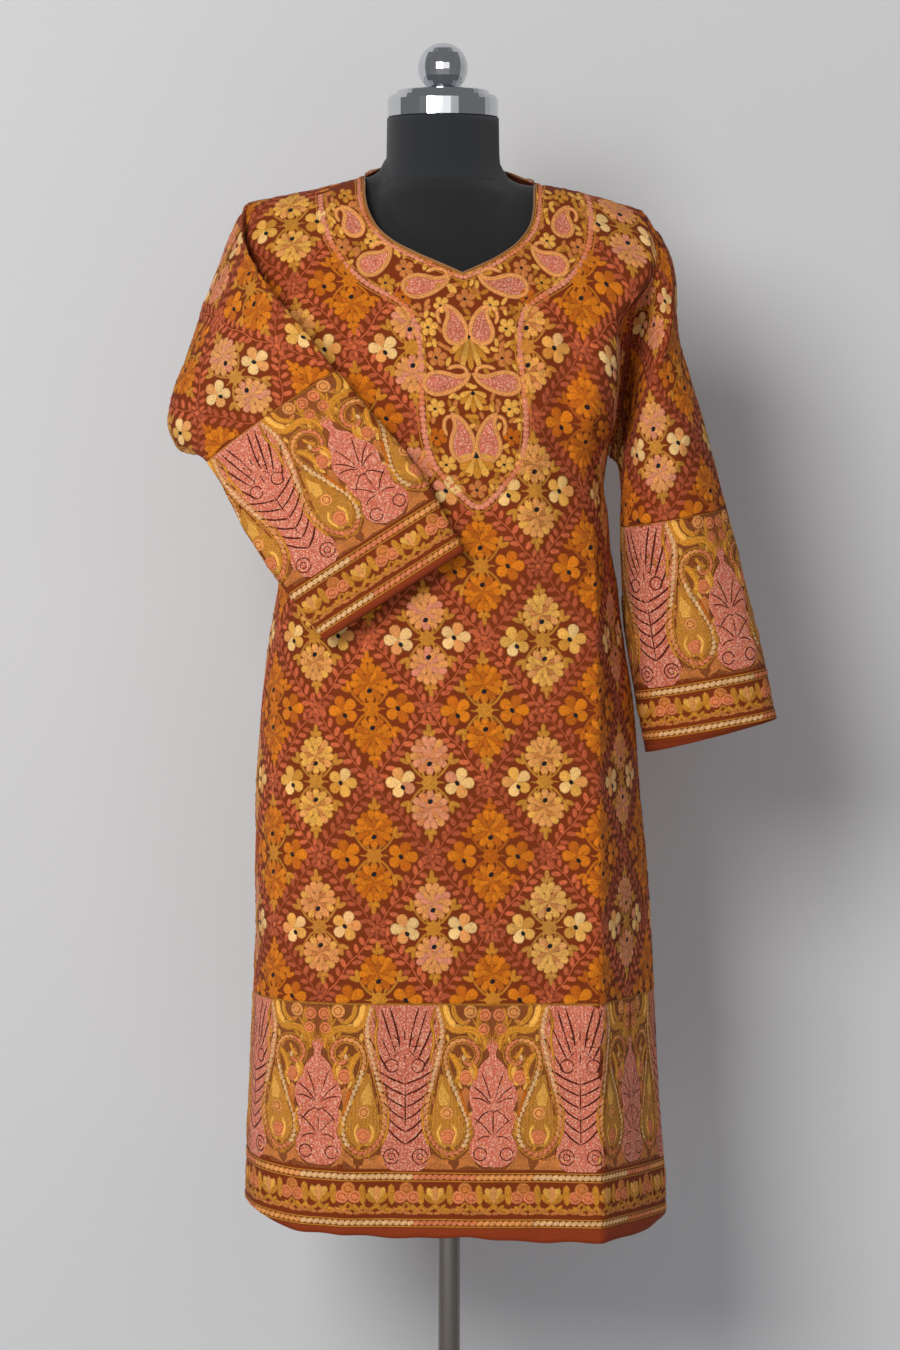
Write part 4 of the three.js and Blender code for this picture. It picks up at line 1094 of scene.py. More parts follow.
# Embroidery. Shapes are drawn flat, in millimetres, then laid on the cloth.
PALETTE = {
    "orange": (218, 128, 20), "amber": (196, 104, 16), "gold": (208, 142, 46), "leaf": (182, 118, 34),
    "peach": (232, 160, 92), "salmon": (222, 132, 88), "cream": (246, 208, 142), "butter": (236, 178, 82),
    "coral": (216, 110, 68), "dusty": (160, 74, 46), "pink": (208, 112, 90), "mellow": (206, 128, 66),
    "rosy": (228, 146, 118), "black": (30, 30, 36), "rust": (84, 30, 15), "ground": (136, 76, 34),
    "shell": (234, 190, 136),
}
WARMTH = (1.08, 0.99, 0.9)
THREAD = {name: np.array(shade(*rgb)) * WARMTH for name, rgb in PALETTE.items()}
DARK = THREAD["rust"] * 1.2
EDGE_LIFT = 0.05
FIELD_INSET = 200.0
LINK_SLANT = 0.48
END_TAPER = 0.35

# A face is left off where it lies this far outside the cut, or has less than this area
OUTSIDE = 0.02
LEAST_AREA = 1e-4

# Across a stroke: the place of each row of points, and the share of its height there
BROAD_FROM = 2.4
BROAD_STROKE = np.array([[-1, -0.55, 0, 0.55, 1], [0, 0.8, 1, 0.8, 0]])
FINE_STROKE = np.array([[-1, 0, 1], [0, 1, 0]])
rng = np.random.default_rng(SEED)


def turned(points, angle, scale=1.0, at=(0.0, 0.0), mirrored=False):
    c, s = math.cos(angle), math.sin(angle)
    points = np.asarray(points, float) * scale
    if mirrored:
        points = points * (-1, 1)
    return points @ np.array([[c, s], [-s, c]]) + np.asarray(at)


# Outlines that start at their foot and grow along +y
def leaf_outline(length, width, sharp=1.0):
    angle = np.linspace(0, 2 * math.pi, 8, endpoint=False)
    side = np.sign(np.sin(angle)) * np.abs(np.sin(angle)) ** sharp
    return np.stack([width / 2 * side, length / 2 * (1 - np.cos(angle))], 1)


def petal_outline(length, width, count=10):
    angle = np.linspace(0, 2 * math.pi, count, endpoint=False)
    up = (1 - np.cos(angle)) / 2
    return np.stack([width / 2 * np.sin(angle) * (0.45 + 0.75 * up), length * up], 1)


def disc_outline(radius, count=14, squash=1.0, at=(0, 0)):
    angle = np.linspace(0, 2 * math.pi, count, endpoint=False)
    return np.stack([radius * np.cos(angle), radius * squash * np.sin(angle)], 1) + at


# Unit steps to the left of a flat line, at each of its points
def left_of(points):
    way = unit(np.gradient(points, axis=0))
    return np.stack([-way[:, 1], way[:, 0]], 1)


# Two triangles for each cell of a grid of points, with the stitch place of each of their corners
def grid_faces(rows, columns, place, around=False):
    faces, stitch = [], []
    for j in range(rows - 1):
        for i in range(columns if around else columns - 1):
            corners = ((j, i), (j, i + 1), (j + 1, i + 1), (j + 1, i))
            for three in ((0, 1, 2), (0, 2, 3)):
                faces.append([corners[q][0] * columns + corners[q][1] % columns for q in three])
                stitch.append([place(*corners[q]) for q in three])
    return faces, stitch


# A growing set of stitched shapes, kept as arrays
class Stitches:
    def __init__(self):
        self.flat, self.lift, self.colour, self.faces, self.stitch, self.owner = [], [], [], [], [], []
        self.points = 0
        self.shapes = 0

    def add(self, flat, lift, colour, faces, stitch):
        count = len(flat)
        self.flat.append(flat)
        self.lift.append(lift)
        self.colour.append(np.broadcast_to(colour, (count, 4)))
        self.faces.append(np.asarray(faces) + self.points)
        self.stitch.append(stitch)
        self.owner.append(np.full(count, self.shapes))
        self.points += count
        self.shapes += 1

    # A filled shape, worked in rows that follow its outline, highest in the middle
    def patch(self, outline, colour, height=0.7, level=0.0, speckle=0.0, rings=2, centre=None):
        outline = np.asarray(outline, float)
        count = len(outline)
        middle_at = outline.mean(0) if centre is None else np.asarray(centre, float)
        shares, tops = ([0.0, 0.45], [0.0, 0.85]) if rings == 2 else ([0.0], [0.0])
        inset = np.linalg.norm(outline - middle_at, axis=1).mean()
        flat = np.vstack([outline + (middle_at - outline) * share for share in shares] + [middle_at[None]])
        lift = EDGE_LIFT + level + height * np.append(np.repeat(tops, count), 1.0)
        along = line_lengths(np.vstack([outline, outline[:1]]))
        faces, stitch = grid_faces(len(shares), count, lambda j, i: (along[i], shares[j] * inset), True)
        last = (len(shares) - 1) * count
        low = shares[-1] * inset
        for i in range(count):
            faces.append([last + i, last + (i + 1) % count, len(flat) - 1])
            stitch.append([(along[i], low), (along[i + 1], low), ((along[i] + along[i + 1]) / 2, inset)])
        self.add(flat, lift, np.append(colour, speckle), faces, np.array(stitch))

    # A line of stitching with a rounded top
    def stroke(self, points, width, colour, height=0.5, level=0.0, taper=True):
        points = np.asarray(points, float)
        widths = np.full(len(points), float(width))
        if taper:
            widths[[0, -1]] *= END_TAPER
        shares, tops = BROAD_STROKE if widths.max() > BROAD_FROM else FINE_STROKE
        out = shares[None, :, None] * widths[:, None, None] / 2
        flat = points[:, None] + left_of(points)[:, None] * out
        lift = np.tile(EDGE_LIFT + level + height * tops, len(points))
        along = line_lengths(points)
        inset = (1 - np.abs(shares)) * widths[:, None] / 2
        faces, stitch = grid_faces(len(points), len(shares), lambda j, i: (along[j], inset[j, i]))
        self.add(flat.reshape(-1, 2), lift, np.append(colour, 0.0), faces, np.array(stitch))

    # A broad filled field between a left and a right edge, worked up and down
    def field(self, left, right, columns, colour, height, speckle=0.0):
        shares = (1 - np.cos(np.linspace(0, math.pi, columns + 1))) / 2
        flat = left[:, None] + (right - left)[:, None] * shares[None, :, None]
        lift = np.full(flat.shape[:2], EDGE_LIFT + height)
        lift[:, [0, -1]] = EDGE_LIFT
        lift[[0, -1]] = EDGE_LIFT
        faces, stitch = grid_faces(*lift.shape, lambda j, i: flat[j, i][::-1] + (0, FIELD_INSET))
        self.add(flat.reshape(-1, 2), lift.ravel(), np.append(colour, speckle), faces, np.array(stitch))

    # A row of oval chain links along a line, in runs of changing colour, with a fine gold line on each side
    def chain(self, points, width, pitch, tones, run, level):
        line = even_line(points, pitch)
        way = np.gradient(line, axis=0)
        link = disc_outline(pitch * 0.64, 8, width / pitch * 0.72)
        for k in range(len(line) - 1):
            angle = math.atan2(way[k][1], way[k][0]) + LINK_SLANT
            tone = THREAD[tones[int(k * pitch / run) % len(tones)]] * rng.uniform(0.9, 1.08)
            self.patch(turned(link, angle, at=(line[k] + line[k + 1]) / 2), tone, 0.9, level, rings=1)
        fine = even_line(points, 4.0)
        side = left_of(fine) * (width / 2 + 1.0)
        for sign in (-1, 1):
            self.stroke(fine + side * sign, 1.3, THREAD["gold"], 0.5, level, taper=False)

    # Adds every shape of a drawn motif, moved, turned and scaled
    def place_motif(self, motif, at, angle=0.0, scale=1.0, mirrored=False, dye=None):
        flat = turned(motif.all_flat, angle, scale, at, mirrored)
        colour = motif.all_colour.copy()
        tone = rng.uniform(0.9, 1.08, motif.shapes)[motif.all_owner]
        colour[:, :3] *= tone[:, None]
        if dye is not None:
            colour[:, :3] = dye(colour[:, :3])
        self.flat.append(flat)
        self.lift.append(motif.all_lift)
        self.colour.append(colour)
        self.faces.append(motif.all_faces + self.points)
        self.stitch.append(motif.all_stitch)
        self.owner.append(motif.all_owner + self.shapes)
        self.points += len(flat)
        self.shapes += motif.shapes

    def gather(self):
        self.all_flat = np.vstack(self.flat)
        self.all_lift = np.concatenate(self.lift)
        self.all_colour = np.vstack(self.colour)
        self.all_faces = np.vstack(self.faces)
        self.all_stitch = np.concatenate(self.stitch)
        self.all_owner = np.concatenate(self.owner)
        return self

    # Lays the kept shapes on a cloth as one object
    def lay(self, name, cloth, keep, clip=None):
        self.gather()
        flat, faces = self.all_flat, self.all_faces
        counts = np.bincount(self.all_owner, minlength=self.shapes)
        sums = [np.bincount(self.all_owner, flat[:, k], self.shapes) for k in (0, 1)]
        kept = keep(sums[0] / counts, sums[1] / counts)[self.all_owner[faces[:, 0]]]
        faces, stitch = faces[kept], self.all_stitch[kept]
        used, faces = np.unique(faces, return_inverse=True)
        faces = faces.reshape(-1, 3)
        flat = flat[used] if clip is None else clip(flat[used])
        points, outside = cloth.place(flat, self.all_lift[used])
        a, b, c = (flat[faces[:, k]] for k in range(3))
        area = cross_2d(b - a, c - a)
        flip = area < 0
        faces[flip] = faces[flip][:, ::-1]
        stitch[flip] = stitch[flip][:, ::-1]
        inside = ~(outside[faces] > OUTSIDE).all(axis=1) & (np.abs(area) > LEAST_AREA)
        faces, stitch = faces[inside], stitch[inside]
        kept_points, faces = np.unique(faces, return_inverse=True)
        colours = self.all_colour[used][kept_points]
        piece = mesh_object(name, points[kept_points], faces.reshape(-1, 3), colours, stitch.reshape(-1, 2))
        piece.data.materials.append(THREADS)
        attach(piece, "root")
        return piece


# Whether places lie inside a closed line
def is_inside(line, u, v):
    inside = np.zeros(len(u), bool)
    for a, b in zip(line, np.roll(line, -1, axis=0)):
        crosses = (a[1] > v) != (b[1] > v)
        reach_u = a[0] + (v - a[1]) / np.where(crosses, b[1] - a[1], 1) * (b[0] - a[0])
        inside ^= crosses & (u < reach_u)
    return inside


# Points at even steps along a line
def even_line(points, step):
    points = np.asarray(points, float)
    lengths = line_lengths(points)
    return at_steps(points, lengths, max(int(round(lengths[-1] / step)), 2))


def curve(points, count=10):
    return smooth_line(points, count, True)


# One five-petalled flower with a dark eye
def blossom(s, at, radius, colours, angle):
    for k in range(5):
        turn = angle + 2 * math.pi * k / 5
        outline = turned(petal_outline(radius, radius * 0.84), turn - math.pi / 2, at=at)
        s.patch(outline, THREAD[colours[k % len(colours)]] * rng.uniform(0.93, 1.06), 0.8)
    eye = turned(leaf_outline(radius * 0.36, radius * 0.28), angle + 0.6, at=(at[0], at[1] - radius * 0.17))
    s.patch(eye, THREAD["black"], 0.5, 0.7, rings=1)


# A full flower of two rings of narrow petals, with its dark eye towards the motif's middle
def aster(s, at, up, outer, inner):
    at = np.array(at, float)
    for k in range(13):
        turn = 2 * math.pi * (k + 0.5) / 13
        reach_out = 19.5 - 1.0 * math.cos(turn) + rng.normal(0, 0.4)
        way = np.array([math.sin(turn), math.cos(turn) * up])
        angle = math.atan2(way[1], way[0]) - math.pi / 2
        petal = turned(petal_outline(reach_out - 6, 8.6), angle, at=at + 6 * way)
        s.patch(petal, THREAD[outer[k % len(outer)]])
    for k in range(9):
        turn = 2 * math.pi * k / 9
        angle = math.atan2(math.cos(turn) * up, math.sin(turn)) - math.pi / 2
        petal = turned(petal_outline(13.5, 6.4, 8), angle, at=at - (0, 2.0 * up))
        s.patch(petal, THREAD[inner[k % len(inner)]], 0.5, 0.45, rings=1)
    s.patch(turned(disc_outline(2.9, 8, 0.8), 0.5, at=at - (0, 9.0 * up)), THREAD["black"], 0.5, 0.9, rings=1)


# One lattice motif: a hub, two asters above and below, two blossoms beside, and four sprigs
def lattice_motif(petal, petal_2, side_petals, stem_tone):
    s = Stitches()
    stem = THREAD[stem_tone]
    for side in (-1, 1):
        for up in (-1, 1):
            branch = [(side * 6, up * 4), (side * 11, up * 8.5), (side * 15.5, up * 14), (side * 19, up * 20)]
            s.stroke(curve(branch, 6), 2.3, stem)
            for foot, angle, length in (((19, 18), -0.22, 12.0), ((18.5, 18), -1.15, 11.5)):
                outline = turned(leaf_outline(length, 5.2, 0.9), angle) * (side, up)
                s.patch(outline + (side * foot[0], up * foot[1]), stem)
            s.stroke([(side * 4.5, up * 5), (side * 7, up * 9.5), (side * 8, up * 14)], 2.6, stem)
        s.stroke([(side * 5, 0), (side * 10, side * 0.5), (side * 14, 0)], 2.0, stem)
        blossom(s, (side * 27.5, 0), 15.2, side_petals, 0 if side > 0 else math.pi)
    for up in (-1, 1):
        s.stroke([(0, up * 5), (0, up * 9), (0, up * 13)], 1.8, stem)
        aster(s, (0, up * 27), up, petal, petal_2)
        for turn, length in ((0, 13.5), (0.85, 8.0), (-0.85, 8.0)):
            angle = turn if up > 0 else math.pi - turn
            s.patch(turned(leaf_outline(length, 5.2, 0.85), angle, at=(0, 44.5 * up)), stem)
    hub = disc_outline(8.4, 16)
    hub *= (1 + 0.18 * np.cos(np.linspace(0, 2 * math.pi, 16, endpoint=False) * 8))[:, None]
    s.patch(hub, stem, 0.9, 0.2)
    return s.gather()


# One edge of the lattice: a vine with pairs of leaves, from the origin along +y
def lattice_edge(length):
    s = Stitches()
    line = [(1.4 * math.sin(y * 0.16 + 1), y) for y in np.linspace(6, length - 6, 10)]
    s.stroke(line, 1.2, THREAD["coral"], 0.35)
    pairs = 8
    for k in range(pairs):
        y = lerp(5, length - 9, (k + 0.3) / pairs)
        for side in (-1, 1):
            leaf = leaf_outline(rng.uniform(9.0, 11.0), rng.uniform(4.9, 5.8), 0.85)
            tone = lerp(THREAD["coral"], THREAD["dusty"], rng.uniform(0, 0.65))
            foot = (side * 1.0 + rng.normal(0, 0.4), y + (2.2 if side > 0 else 0) + rng.normal(0, 0.7))
            s.patch(turned(leaf, -side * rng.uniform(0.65, 1.15), at=foot), tone, 0.7, rings=1)
    return s.gather()


# The knot of small leaves where the vines cross
def lattice_knot():
    s = Stitches()
    for k in range(9):
        turn = 2 * math.pi * k / 9 + rng.normal(0, 0.12)
        foot = (-math.sin(turn) * 3.6, math.cos(turn) * 3.6)
        tone = lerp(THREAD["coral"], THREAD["dusty"], rng.uniform(0, 0.65))
        leaf = turned(leaf_outline(rng.uniform(7.5, 9.5), 4.2, 0.9), turn + rng.normal(0, 0.2), at=foot)
        s.patch(leaf, tone, 0.6, 0.2, rings=1)
    s.patch(disc_outline(3.0, 8), THREAD["coral"], 0.6, 0.3, rings=1)
    return s.gather()


CELL_WIDE, CELL_TALL = 112.0, 141.0
PALE_PETALS = [
    (["peach", "peach", "rosy", "peach"], ["peach", "rosy"], ["cream", "peach", "cream", "cream", "peach"]),
    (["butter", "peach", "butter"], ["butter", "mellow"], ["butter", "cream", "butter", "gold", "butter"]),
    (["rosy", "peach", "rosy", "salmon"], ["rosy", "salmon"], ["cream", "cream", "rosy", "cream", "peach"]),
    (["peach", "butter", "peach"], ["peach", "mellow"], ["peach", "cream", "butter", "cream", "butter"]),
]
pale_motifs = [lattice_motif(*petals, "gold") for petals in PALE_PETALS]
DEEP_PETALS = (
    ["orange", "orange", "amber"], ["amber", "orange"], ["orange", "amber", "orange", "orange", "amber"],
)
deep_motifs = [lattice_motif(*DEEP_PETALS, stem) for stem in ("orange", "amber", "gold")]
edge_length = math.hypot(CELL_WIDE / 2, CELL_TALL / 2)
vines = [lattice_edge(edge_length) for _ in range(6)]
knots = [lattice_knot() for _ in range(4)]


# Turns colours towards a thread's colour; kept_light leaves each one as light or dark as it was
def dye_towards(name, share, kept_light=True):
    goal = THREAD[name]
    if not kept_light:
        return lambda colour: lerp(colour, goal, share)
    return lambda colour: lerp(colour, goal * colour.mean(1, keepdims=True) / goal.mean(), share)


# Fills a cloth with the lattice; a peach motif lies at the origin given
def lay_lattice(name, cloth, origin, keep, clip=None):
    s = Stitches()
    low, high = cloth.flat.reshape(-1, 2).min(0), cloth.flat.reshape(-1, 2).max(0)
    first, last = (low - origin) / (CELL_WIDE, CELL_TALL / 2), (high - origin) / (CELL_WIDE, CELL_TALL / 2)
    columns = range(int(first[0]) - 2, int(last[0]) + 3)
    rows = range(int(first[1]) - 3, int(last[1]) + 4)
    slant = math.atan2(CELL_WIDE / 2, CELL_TALL / 2)
    for row in rows:
        for column in columns:
            shift = 0.5 * (row % 2)
            at = np.array([origin[0] + (column + shift) * CELL_WIDE, origin[1] + row * CELL_TALL / 2])
            if not (low[0] - 60 < at[0] < high[0] + 60 and low[1] - 75 < at[1] < high[1] + 75):
                continue
            at += rng.normal(0, 1.0, 2)
            angle = rng.normal(0, 0.03) + 0.015
            if row % 2 == 0:
                motif = pale_motifs[(column + 2 * (row // 2)) % len(pale_motifs)]
                dye = dye_towards(["cream", "butter", "salmon"][rng.integers(3)], rng.uniform(0, 0.25))
            else:
                motif = deep_motifs[rng.integers(len(deep_motifs))]
                dye = dye_towards("amber", rng.uniform(0, 0.3))
            s.place_motif(motif, at, angle, rng.uniform(0.98, 1.03), dye=dye)
            beside = (at[0] + CELL_WIDE / 2, at[1])
            dusk = dye_towards("dusty", rng.choice([0.0, 0.1, 0.5]), False)
            for start, turn in (((at[0] - CELL_WIDE / 2, at[1]), -slant), (beside, slant)):
                vine = vines[rng.integers(len(vines))]
                s.place_motif(vine, start, turn, mirrored=rng.random() < 0.5, dye=dusk)
            s.place_motif(knots[rng.integers(len(knots))], beside, rng.uniform(0, 6), dye=dusk)
            above = (at[0], at[1] + CELL_TALL / 2)
            s.place_motif(knots[rng.integers(len(knots))], above, rng.uniform(0, 6), 0.7, dye=dusk)
    return s.lay(name, cloth, keep, clip)


# The border: chain lines, a band of tulips, and the tall field of trees, urns and paisleys
CHAIN_LOW, BAND_LOW, CHAIN_HIGH, FIELD_LOW, FIELD_HIGH = 406, 411.5, 451, 457, 620
PERIOD = 171.0
VEIN_LEVEL = 0.42
TREE = {
    "b": [0, 5, 12, 22, 35, 50, 65, 80, 95, 110, 125, 150, 163],
    "half": [14, 21, 25, 24, 20, 21, 23, 27, 32, 37, 39, 40, 39],
}
URN = {
    "b": [3, 8, 14, 20, 28, 38, 46, 54, 58, 64, 72, 80, 88, 96, 105, 114, 122, 132],
    "half": [8, 16, 22, 24, 23, 18, 22, 26, 20, 22, 24, 23, 20, 16, 11, 3, 6, 10],
}
PAISLEY_LINE = [
    (53, 161), (49, 140), (52, 116), (59, 88), (65, 58), (61, 32), (44, 16), (29, 24), (24, 44), (32, 68),
    (43, 94), (46, 113), (38, 126), (24, 128), (14, 118), (17, 106), (27, 105), (28, 114),
]
DROP = {
    "b": [21, 26, 36, 48, 60, 74, 88, 98],
    "mid": [44, 44, 44, 44.5, 45.5, 47, 49, 50],
    "half": [4, 11, 16, 16.5, 13.5, 8.5, 4, 1],
}

# The urn's veins, as both ends of each
URN_VEINS = [
    ((2, 66), (20, 84)), ((3, 66), (21, 72)), ((3, 60), (17, 47)),
    ((2, 70), (11, 97)), ((2, 36), (19, 52)), ((3, 34), (17, 30)),
]

# The scrolls around a paisley: the line, its width and its thread
SCROLLS = [
    ([(46, 163), (43, 150), (36, 141)], 6.0, "butter"), ([(52, 163), (47, 151), (44, 139)], 4.5, "gold"),
    ([(38, 163), (36, 152), (27, 143)], 4.5, "gold"),
    ([(46, 142), (34, 138), (20, 139), (10, 130), (7, 119)], 6.5, "gold"),
    ([(12, 132), (9, 124), (10, 116)], 4.0, "leaf"), ([(2, 124), (9, 134), (19, 149)], 2.6, "gold"),
    ([(1, 126), (3, 136), (6, 148)], 2.4, "leaf"), ([(60, 150), (57, 128), (61, 106)], 3.0, "gold"),
    ([(36, 86), (32, 96), (36, 108), (42, 116)], 5.5, "gold"),
    ([(24, 84), (20, 96), (22, 103)], 5.0, "butter"),
    ([(33, 80), (27, 62), (25, 52)], 3.2, "amber"), ([(69, 62), (68, 42), (63, 24)], 2.6, "gold"),
    ([(40, 46), (36, 38), (40, 26)], 3.4, "butter"), ([(50, 46), (54, 38), (50, 26)], 3.4, "butter"),
    ([(11, 160), (14, 150), (13, 142)], 2.6, "gold"), ([(30, 122), (24, 112), (20, 112)], 3.2, "gold"),
    ([(56, 160), (58, 146), (58, 134)], 2.6, "leaf"), ([(21, 52), (24, 42), (20, 34)], 3.2, "gold"),
    ([(20, 108), (16, 98), (19, 88)], 3.6, "gold"), ([(34, 98), (30, 92), (36, 92)], 3.0, "butter"),
]

# Filled shapes beside it: outline, thread, height and level; then its fruits: centre, radius and thread
PADS = [
    ([(27, 84), (32, 78), (30, 64), (26, 56), (23, 70), (22, 80)], "mellow", 0.6, 0.1),
    ([(39, 1.5), (70, 1.5), (71, 15), (60, 18), (50, 13), (41, 12)], "mellow", 0.6, 0.0),
    ([(11, 1.5), (37, 1.5), (36, 12), (28, 18), (24, 24), (20, 14)], "mellow", 0.6, 0.0),
    ([(50, 88), (54, 74), (52, 64), (43, 64), (42, 74)], "butter", 0.4, 0.5),
]
FRUITS = [
    ((44, 34), 7.6, "salmon"), ((45, 57), 6.4, "peach"), ((26, 92), 7.8, "salmon"),
    ((21, 156), 6.8, "peach"), ((7, 153), 6.4, "salmon"), ((8, 139), 6.2, "salmon"),
]


def field_from(s, table, rows, columns, colour, height, speckle):
    b = np.linspace(table["b"][0], table["b"][-1], rows + 1)
    half = track(table, "b", "half")(b)
    centre = track(table, "b", "mid")(b) if "mid" in table else np.zeros_like(b)
    left, right = np.stack([centre - half, b], 1), np.stack([centre + half, b], 1)
    s.field(left, right, columns, colour, height, speckle)


# A pink speckled field of a table's shape, with dark stitching along both its sides
def pink_field(s, table, rows, columns, low, high):
    field_from(s, table, rows, columns, THREAD["pink"], 0.45, 1.0)
    b = np.linspace(low, high, 40)
    for side in (-1, 1):
        s.stroke(np.stack([side * (track(table, "b", "half")(b) + 0.3), b], 1), 1.8, DARK, 0.3)


# Dark veins and rings over the pink fields
def vein(s, points, width):
    s.stroke(points, width, DARK, 0.15, VEIN_LEVEL)


def ring(s, at, radius, count=15, width=1.4):
    s.stroke(disc_outline(radius, count, at=at), width, DARK, 0.15, VEIN_LEVEL, taper=False)


def tree_panel():
    s = Stitches()
    b = np.linspace(1, 162, 28)
    edge = np.stack([np.full(len(b), PERIOD / 2), b], 1)
    s.field(edge * (-1, 1), edge, 24, THREAD["ground"], 0.26)
    pink_field(s, TREE, 34, 12, 1, 162)
    for side in (-1, 1):
        for b in (34, 46, 58, 70, 82, 93):
            half = float(track(TREE, "b", "half")(b + 10)) - 1
            vein(s, curve([(0, b - 8), (side * half * 0.45, b - 2), (side * half, b + 10)], 7), 2.1)
        for reach, b, top in ((9, 128, 160), (17, 122, 158), (26, 118, 150), (32, 106, 134)):
            frond = [(side * reach * 0.5, b - 8), (side * reach * 0.8, b + 8), (side * (reach + 5), top)]
            vein(s, curve(frond, 7), 2.0)
        ring(s, (side * 13, 103), 6.5)
        ring(s, (side * 14, 14), 7.5)
        ring(s, (side * 14, 14), 3.2, 11, 1.2)
    for turn in np.linspace(0, 2 * math.pi, 8, endpoint=False):
        way = np.array([math.sin(turn), math.cos(turn)])
        vein(s, [np.array([0, 122]) + way * r for r in (6, 11, 16)], 1.3)
    vein(s, [(0, 26), (0, 50), (0, 74), (0, 92)], 1.3)
    return s.gather()


def urn_panel():
    s = Stitches()
    pink_field(s, URN, 32, 10, 3, 131)
    for side in (-1, 1):
        for low, high in URN_VEINS:
            mid = ((low[0] + high[0]) / 2, (low[1] + high[1]) / 2 + 2)
            vein(s, curve([(side * x, b) for x, b in (low, mid, high)], 6), 1.4)
        ring(s, (side * 13, 17), 6.2)
    vein(s, [(-9, 62), (0, 58), (9, 62)], 1.4)
    vein(s, [(0, 60), (0, 48), (0, 36)], 1.3)
    return s.gather()


# Everything between a tree and an urn on one side of the urn
def paisley_side():
    s = Stitches()
    field_from(s, DROP, 14, 8, THREAD["gold"] * 0.8, 0.5, 0.15)
    for line, width, tone in SCROLLS:
        s.stroke(curve(line, 7), width * 1.15, THREAD[tone] * rng.uniform(1.0, 1.1), 0.6, 0.3)
    for outline, tone, height, level in PADS:
        s.patch(outline, THREAD[tone], height, level)
    for centre, radius, tone in FRUITS:
        s.patch(disc_outline(radius, at=centre), THREAD[tone] * rng.uniform(0.93, 1.03), 0.8, 0.55)
        s.stroke(disc_outline(radius * 0.55, 11, at=centre), 0.9, THREAD["amber"], 0.2, 1.2, taper=False)
    for k in range(56):
        at = (rng.uniform(8, 72), rng.uniform(4, 158))
        leaf = turned(leaf_outline(rng.uniform(9, 13), rng.uniform(4, 5), 0.85), rng.normal(0, 0.7), at=at)
        tone = THREAD[("gold", "butter", "mellow")[k % 3]] * rng.uniform(0.8, 1.0)
        s.patch(leaf, tone, 0.35, 0.2, rings=1)
    s.chain(curve(PAISLEY_LINE, 90), 4.6, 5.4, ["shell", "shell", "peach", "salmon"], 42, 0.35)
    return s.gather()


# One repeat of the narrow flower band
def band_repeat():
    s = Stitches()
    for way, length, tone in (
        (-0.85, 14, "gold"), (0.85, 14, "gold"), (-0.42, 17, "butter"), (0.42, 17, "butter"),
        (0, 17, "peach"),
    ):
        petal = turned(leaf_outline(length, 7.8, 0.75), way, at=(0, 14))
        s.patch(petal, THREAD[tone] * 0.94, 0.8, 0.0 if way else 0.25)
    for centre, tone in (((21.5, 20), "salmon"), ((33.5, 20), "salmon"), ((27.5, 28), "mellow")):
        s.patch(disc_outline(6.6, 12, at=centre), THREAD[tone], 0.8, 0.1)
        s.stroke(disc_outline(3.4, 9, at=centre), 0.9, THREAD["amber"], 0.2, 0.8, taper=False)
    for mid in (14, 41):
        s.patch(turned(leaf_outline(21, 7.4, 0.85), 0.04, at=(mid, 12)), THREAD["gold"])
    for low, high in (((0, 14), (13, 4)), ((0, 14), (-13, 4)), ((27.5, 15), (14, 5)), ((27.5, 15), (40, 5))):
        mid = ((low[0] + high[0]) / 2, min(low[1], high[1]) + 2)
        s.stroke(curve([low, mid, high], 6), 2.4, THREAD["gold"])
    for k in range(10):
        foot = (-13 + 5.6 * k, 3.5 + 3.2 * (k % 2))
        tone = THREAD["gold" if k % 2 else "mellow"]
        for side in (-1, 1):
            leaf = turned(leaf_outline(8.5, 3.8, 0.9), side * (0.75 + 0.3 * (k % 3)), at=foot)
            s.patch(leaf, tone, 0.6, rings=1)
    return s.gather()


tree, urn, paisley, band = tree_panel(), urn_panel(), paisley_side(), band_repeat()


# Keeps every shape
def keep_all(u, v):
    return np.ones(len(u), bool)


# Lays the whole border on a cloth: the middle of an urn, and where body heights fall on this cloth
def lay_border(name, cloth, urn_at, height_of=lambda v: v):
    s = Stitches()
    low, high = cloth.flat[..., 0].min() - 8, cloth.flat[..., 0].max() + 8
    for k in range(math.floor((low - urn_at) / PERIOD) - 1, math.ceil((high - urn_at) / PERIOD) + 1):
        at = urn_at + k * PERIOD
        s.place_motif(tree, (at + PERIOD / 2, FIELD_LOW))
        s.place_motif(urn, (at, FIELD_LOW))
        for mirrored in (False, True):
            s.place_motif(paisley, (at, FIELD_LOW), mirrored=mirrored)
        for third in range(3):
            s.place_motif(band, (at + PERIOD / 3 * third, BAND_LOW), scale=(PERIOD / 3 / 54, 1))
    across_line = np.arange(low, high + 1, 6.0)
    for height, width in ((CHAIN_LOW, 5.2), (CHAIN_HIGH, 6.0)):
        line = np.stack([across_line, np.full(len(across_line), height)], 1)
        s.chain(line, width, 6.2, ["shell", "salmon", "peach", "shell"], 58, 0.1)
    top = np.stack([across_line, np.full(len(across_line), FIELD_HIGH)], 1)
    s.stroke(top, 2.0, THREAD["gold"] * 0.8, 0.5, 0.1, taper=False)
    for part in s.flat:
        part[:, 1] = height_of(part[:, 1])
    return s.lay(name, cloth, keep_all)


# The yoke: its outer line on the right half, as distance out from the centre line and height
YOKE = [
    (131, 1412), (131, 1382), (125, 1358.5), (115, 1341), (100, 1324.5), (74, 1308.7), (58.5, 1297.9),
    (50.5, 1279), (48.5, 1253), (49.5, 1220.8), (50, 1188.7), (47.5, 1164.5), (40, 1142), (29, 1129.5),
    (15.5, 1114), (0, 1103),
]

# The part of the neckline that closes the yoke
YOKE_NECK = [
    (84, 1425), (79, 1392), (62, 1366), (38, 1349), (0, 1333),
    (-38, 1349), (-62, 1366), (-79, 1392), (-84, 1425),
]

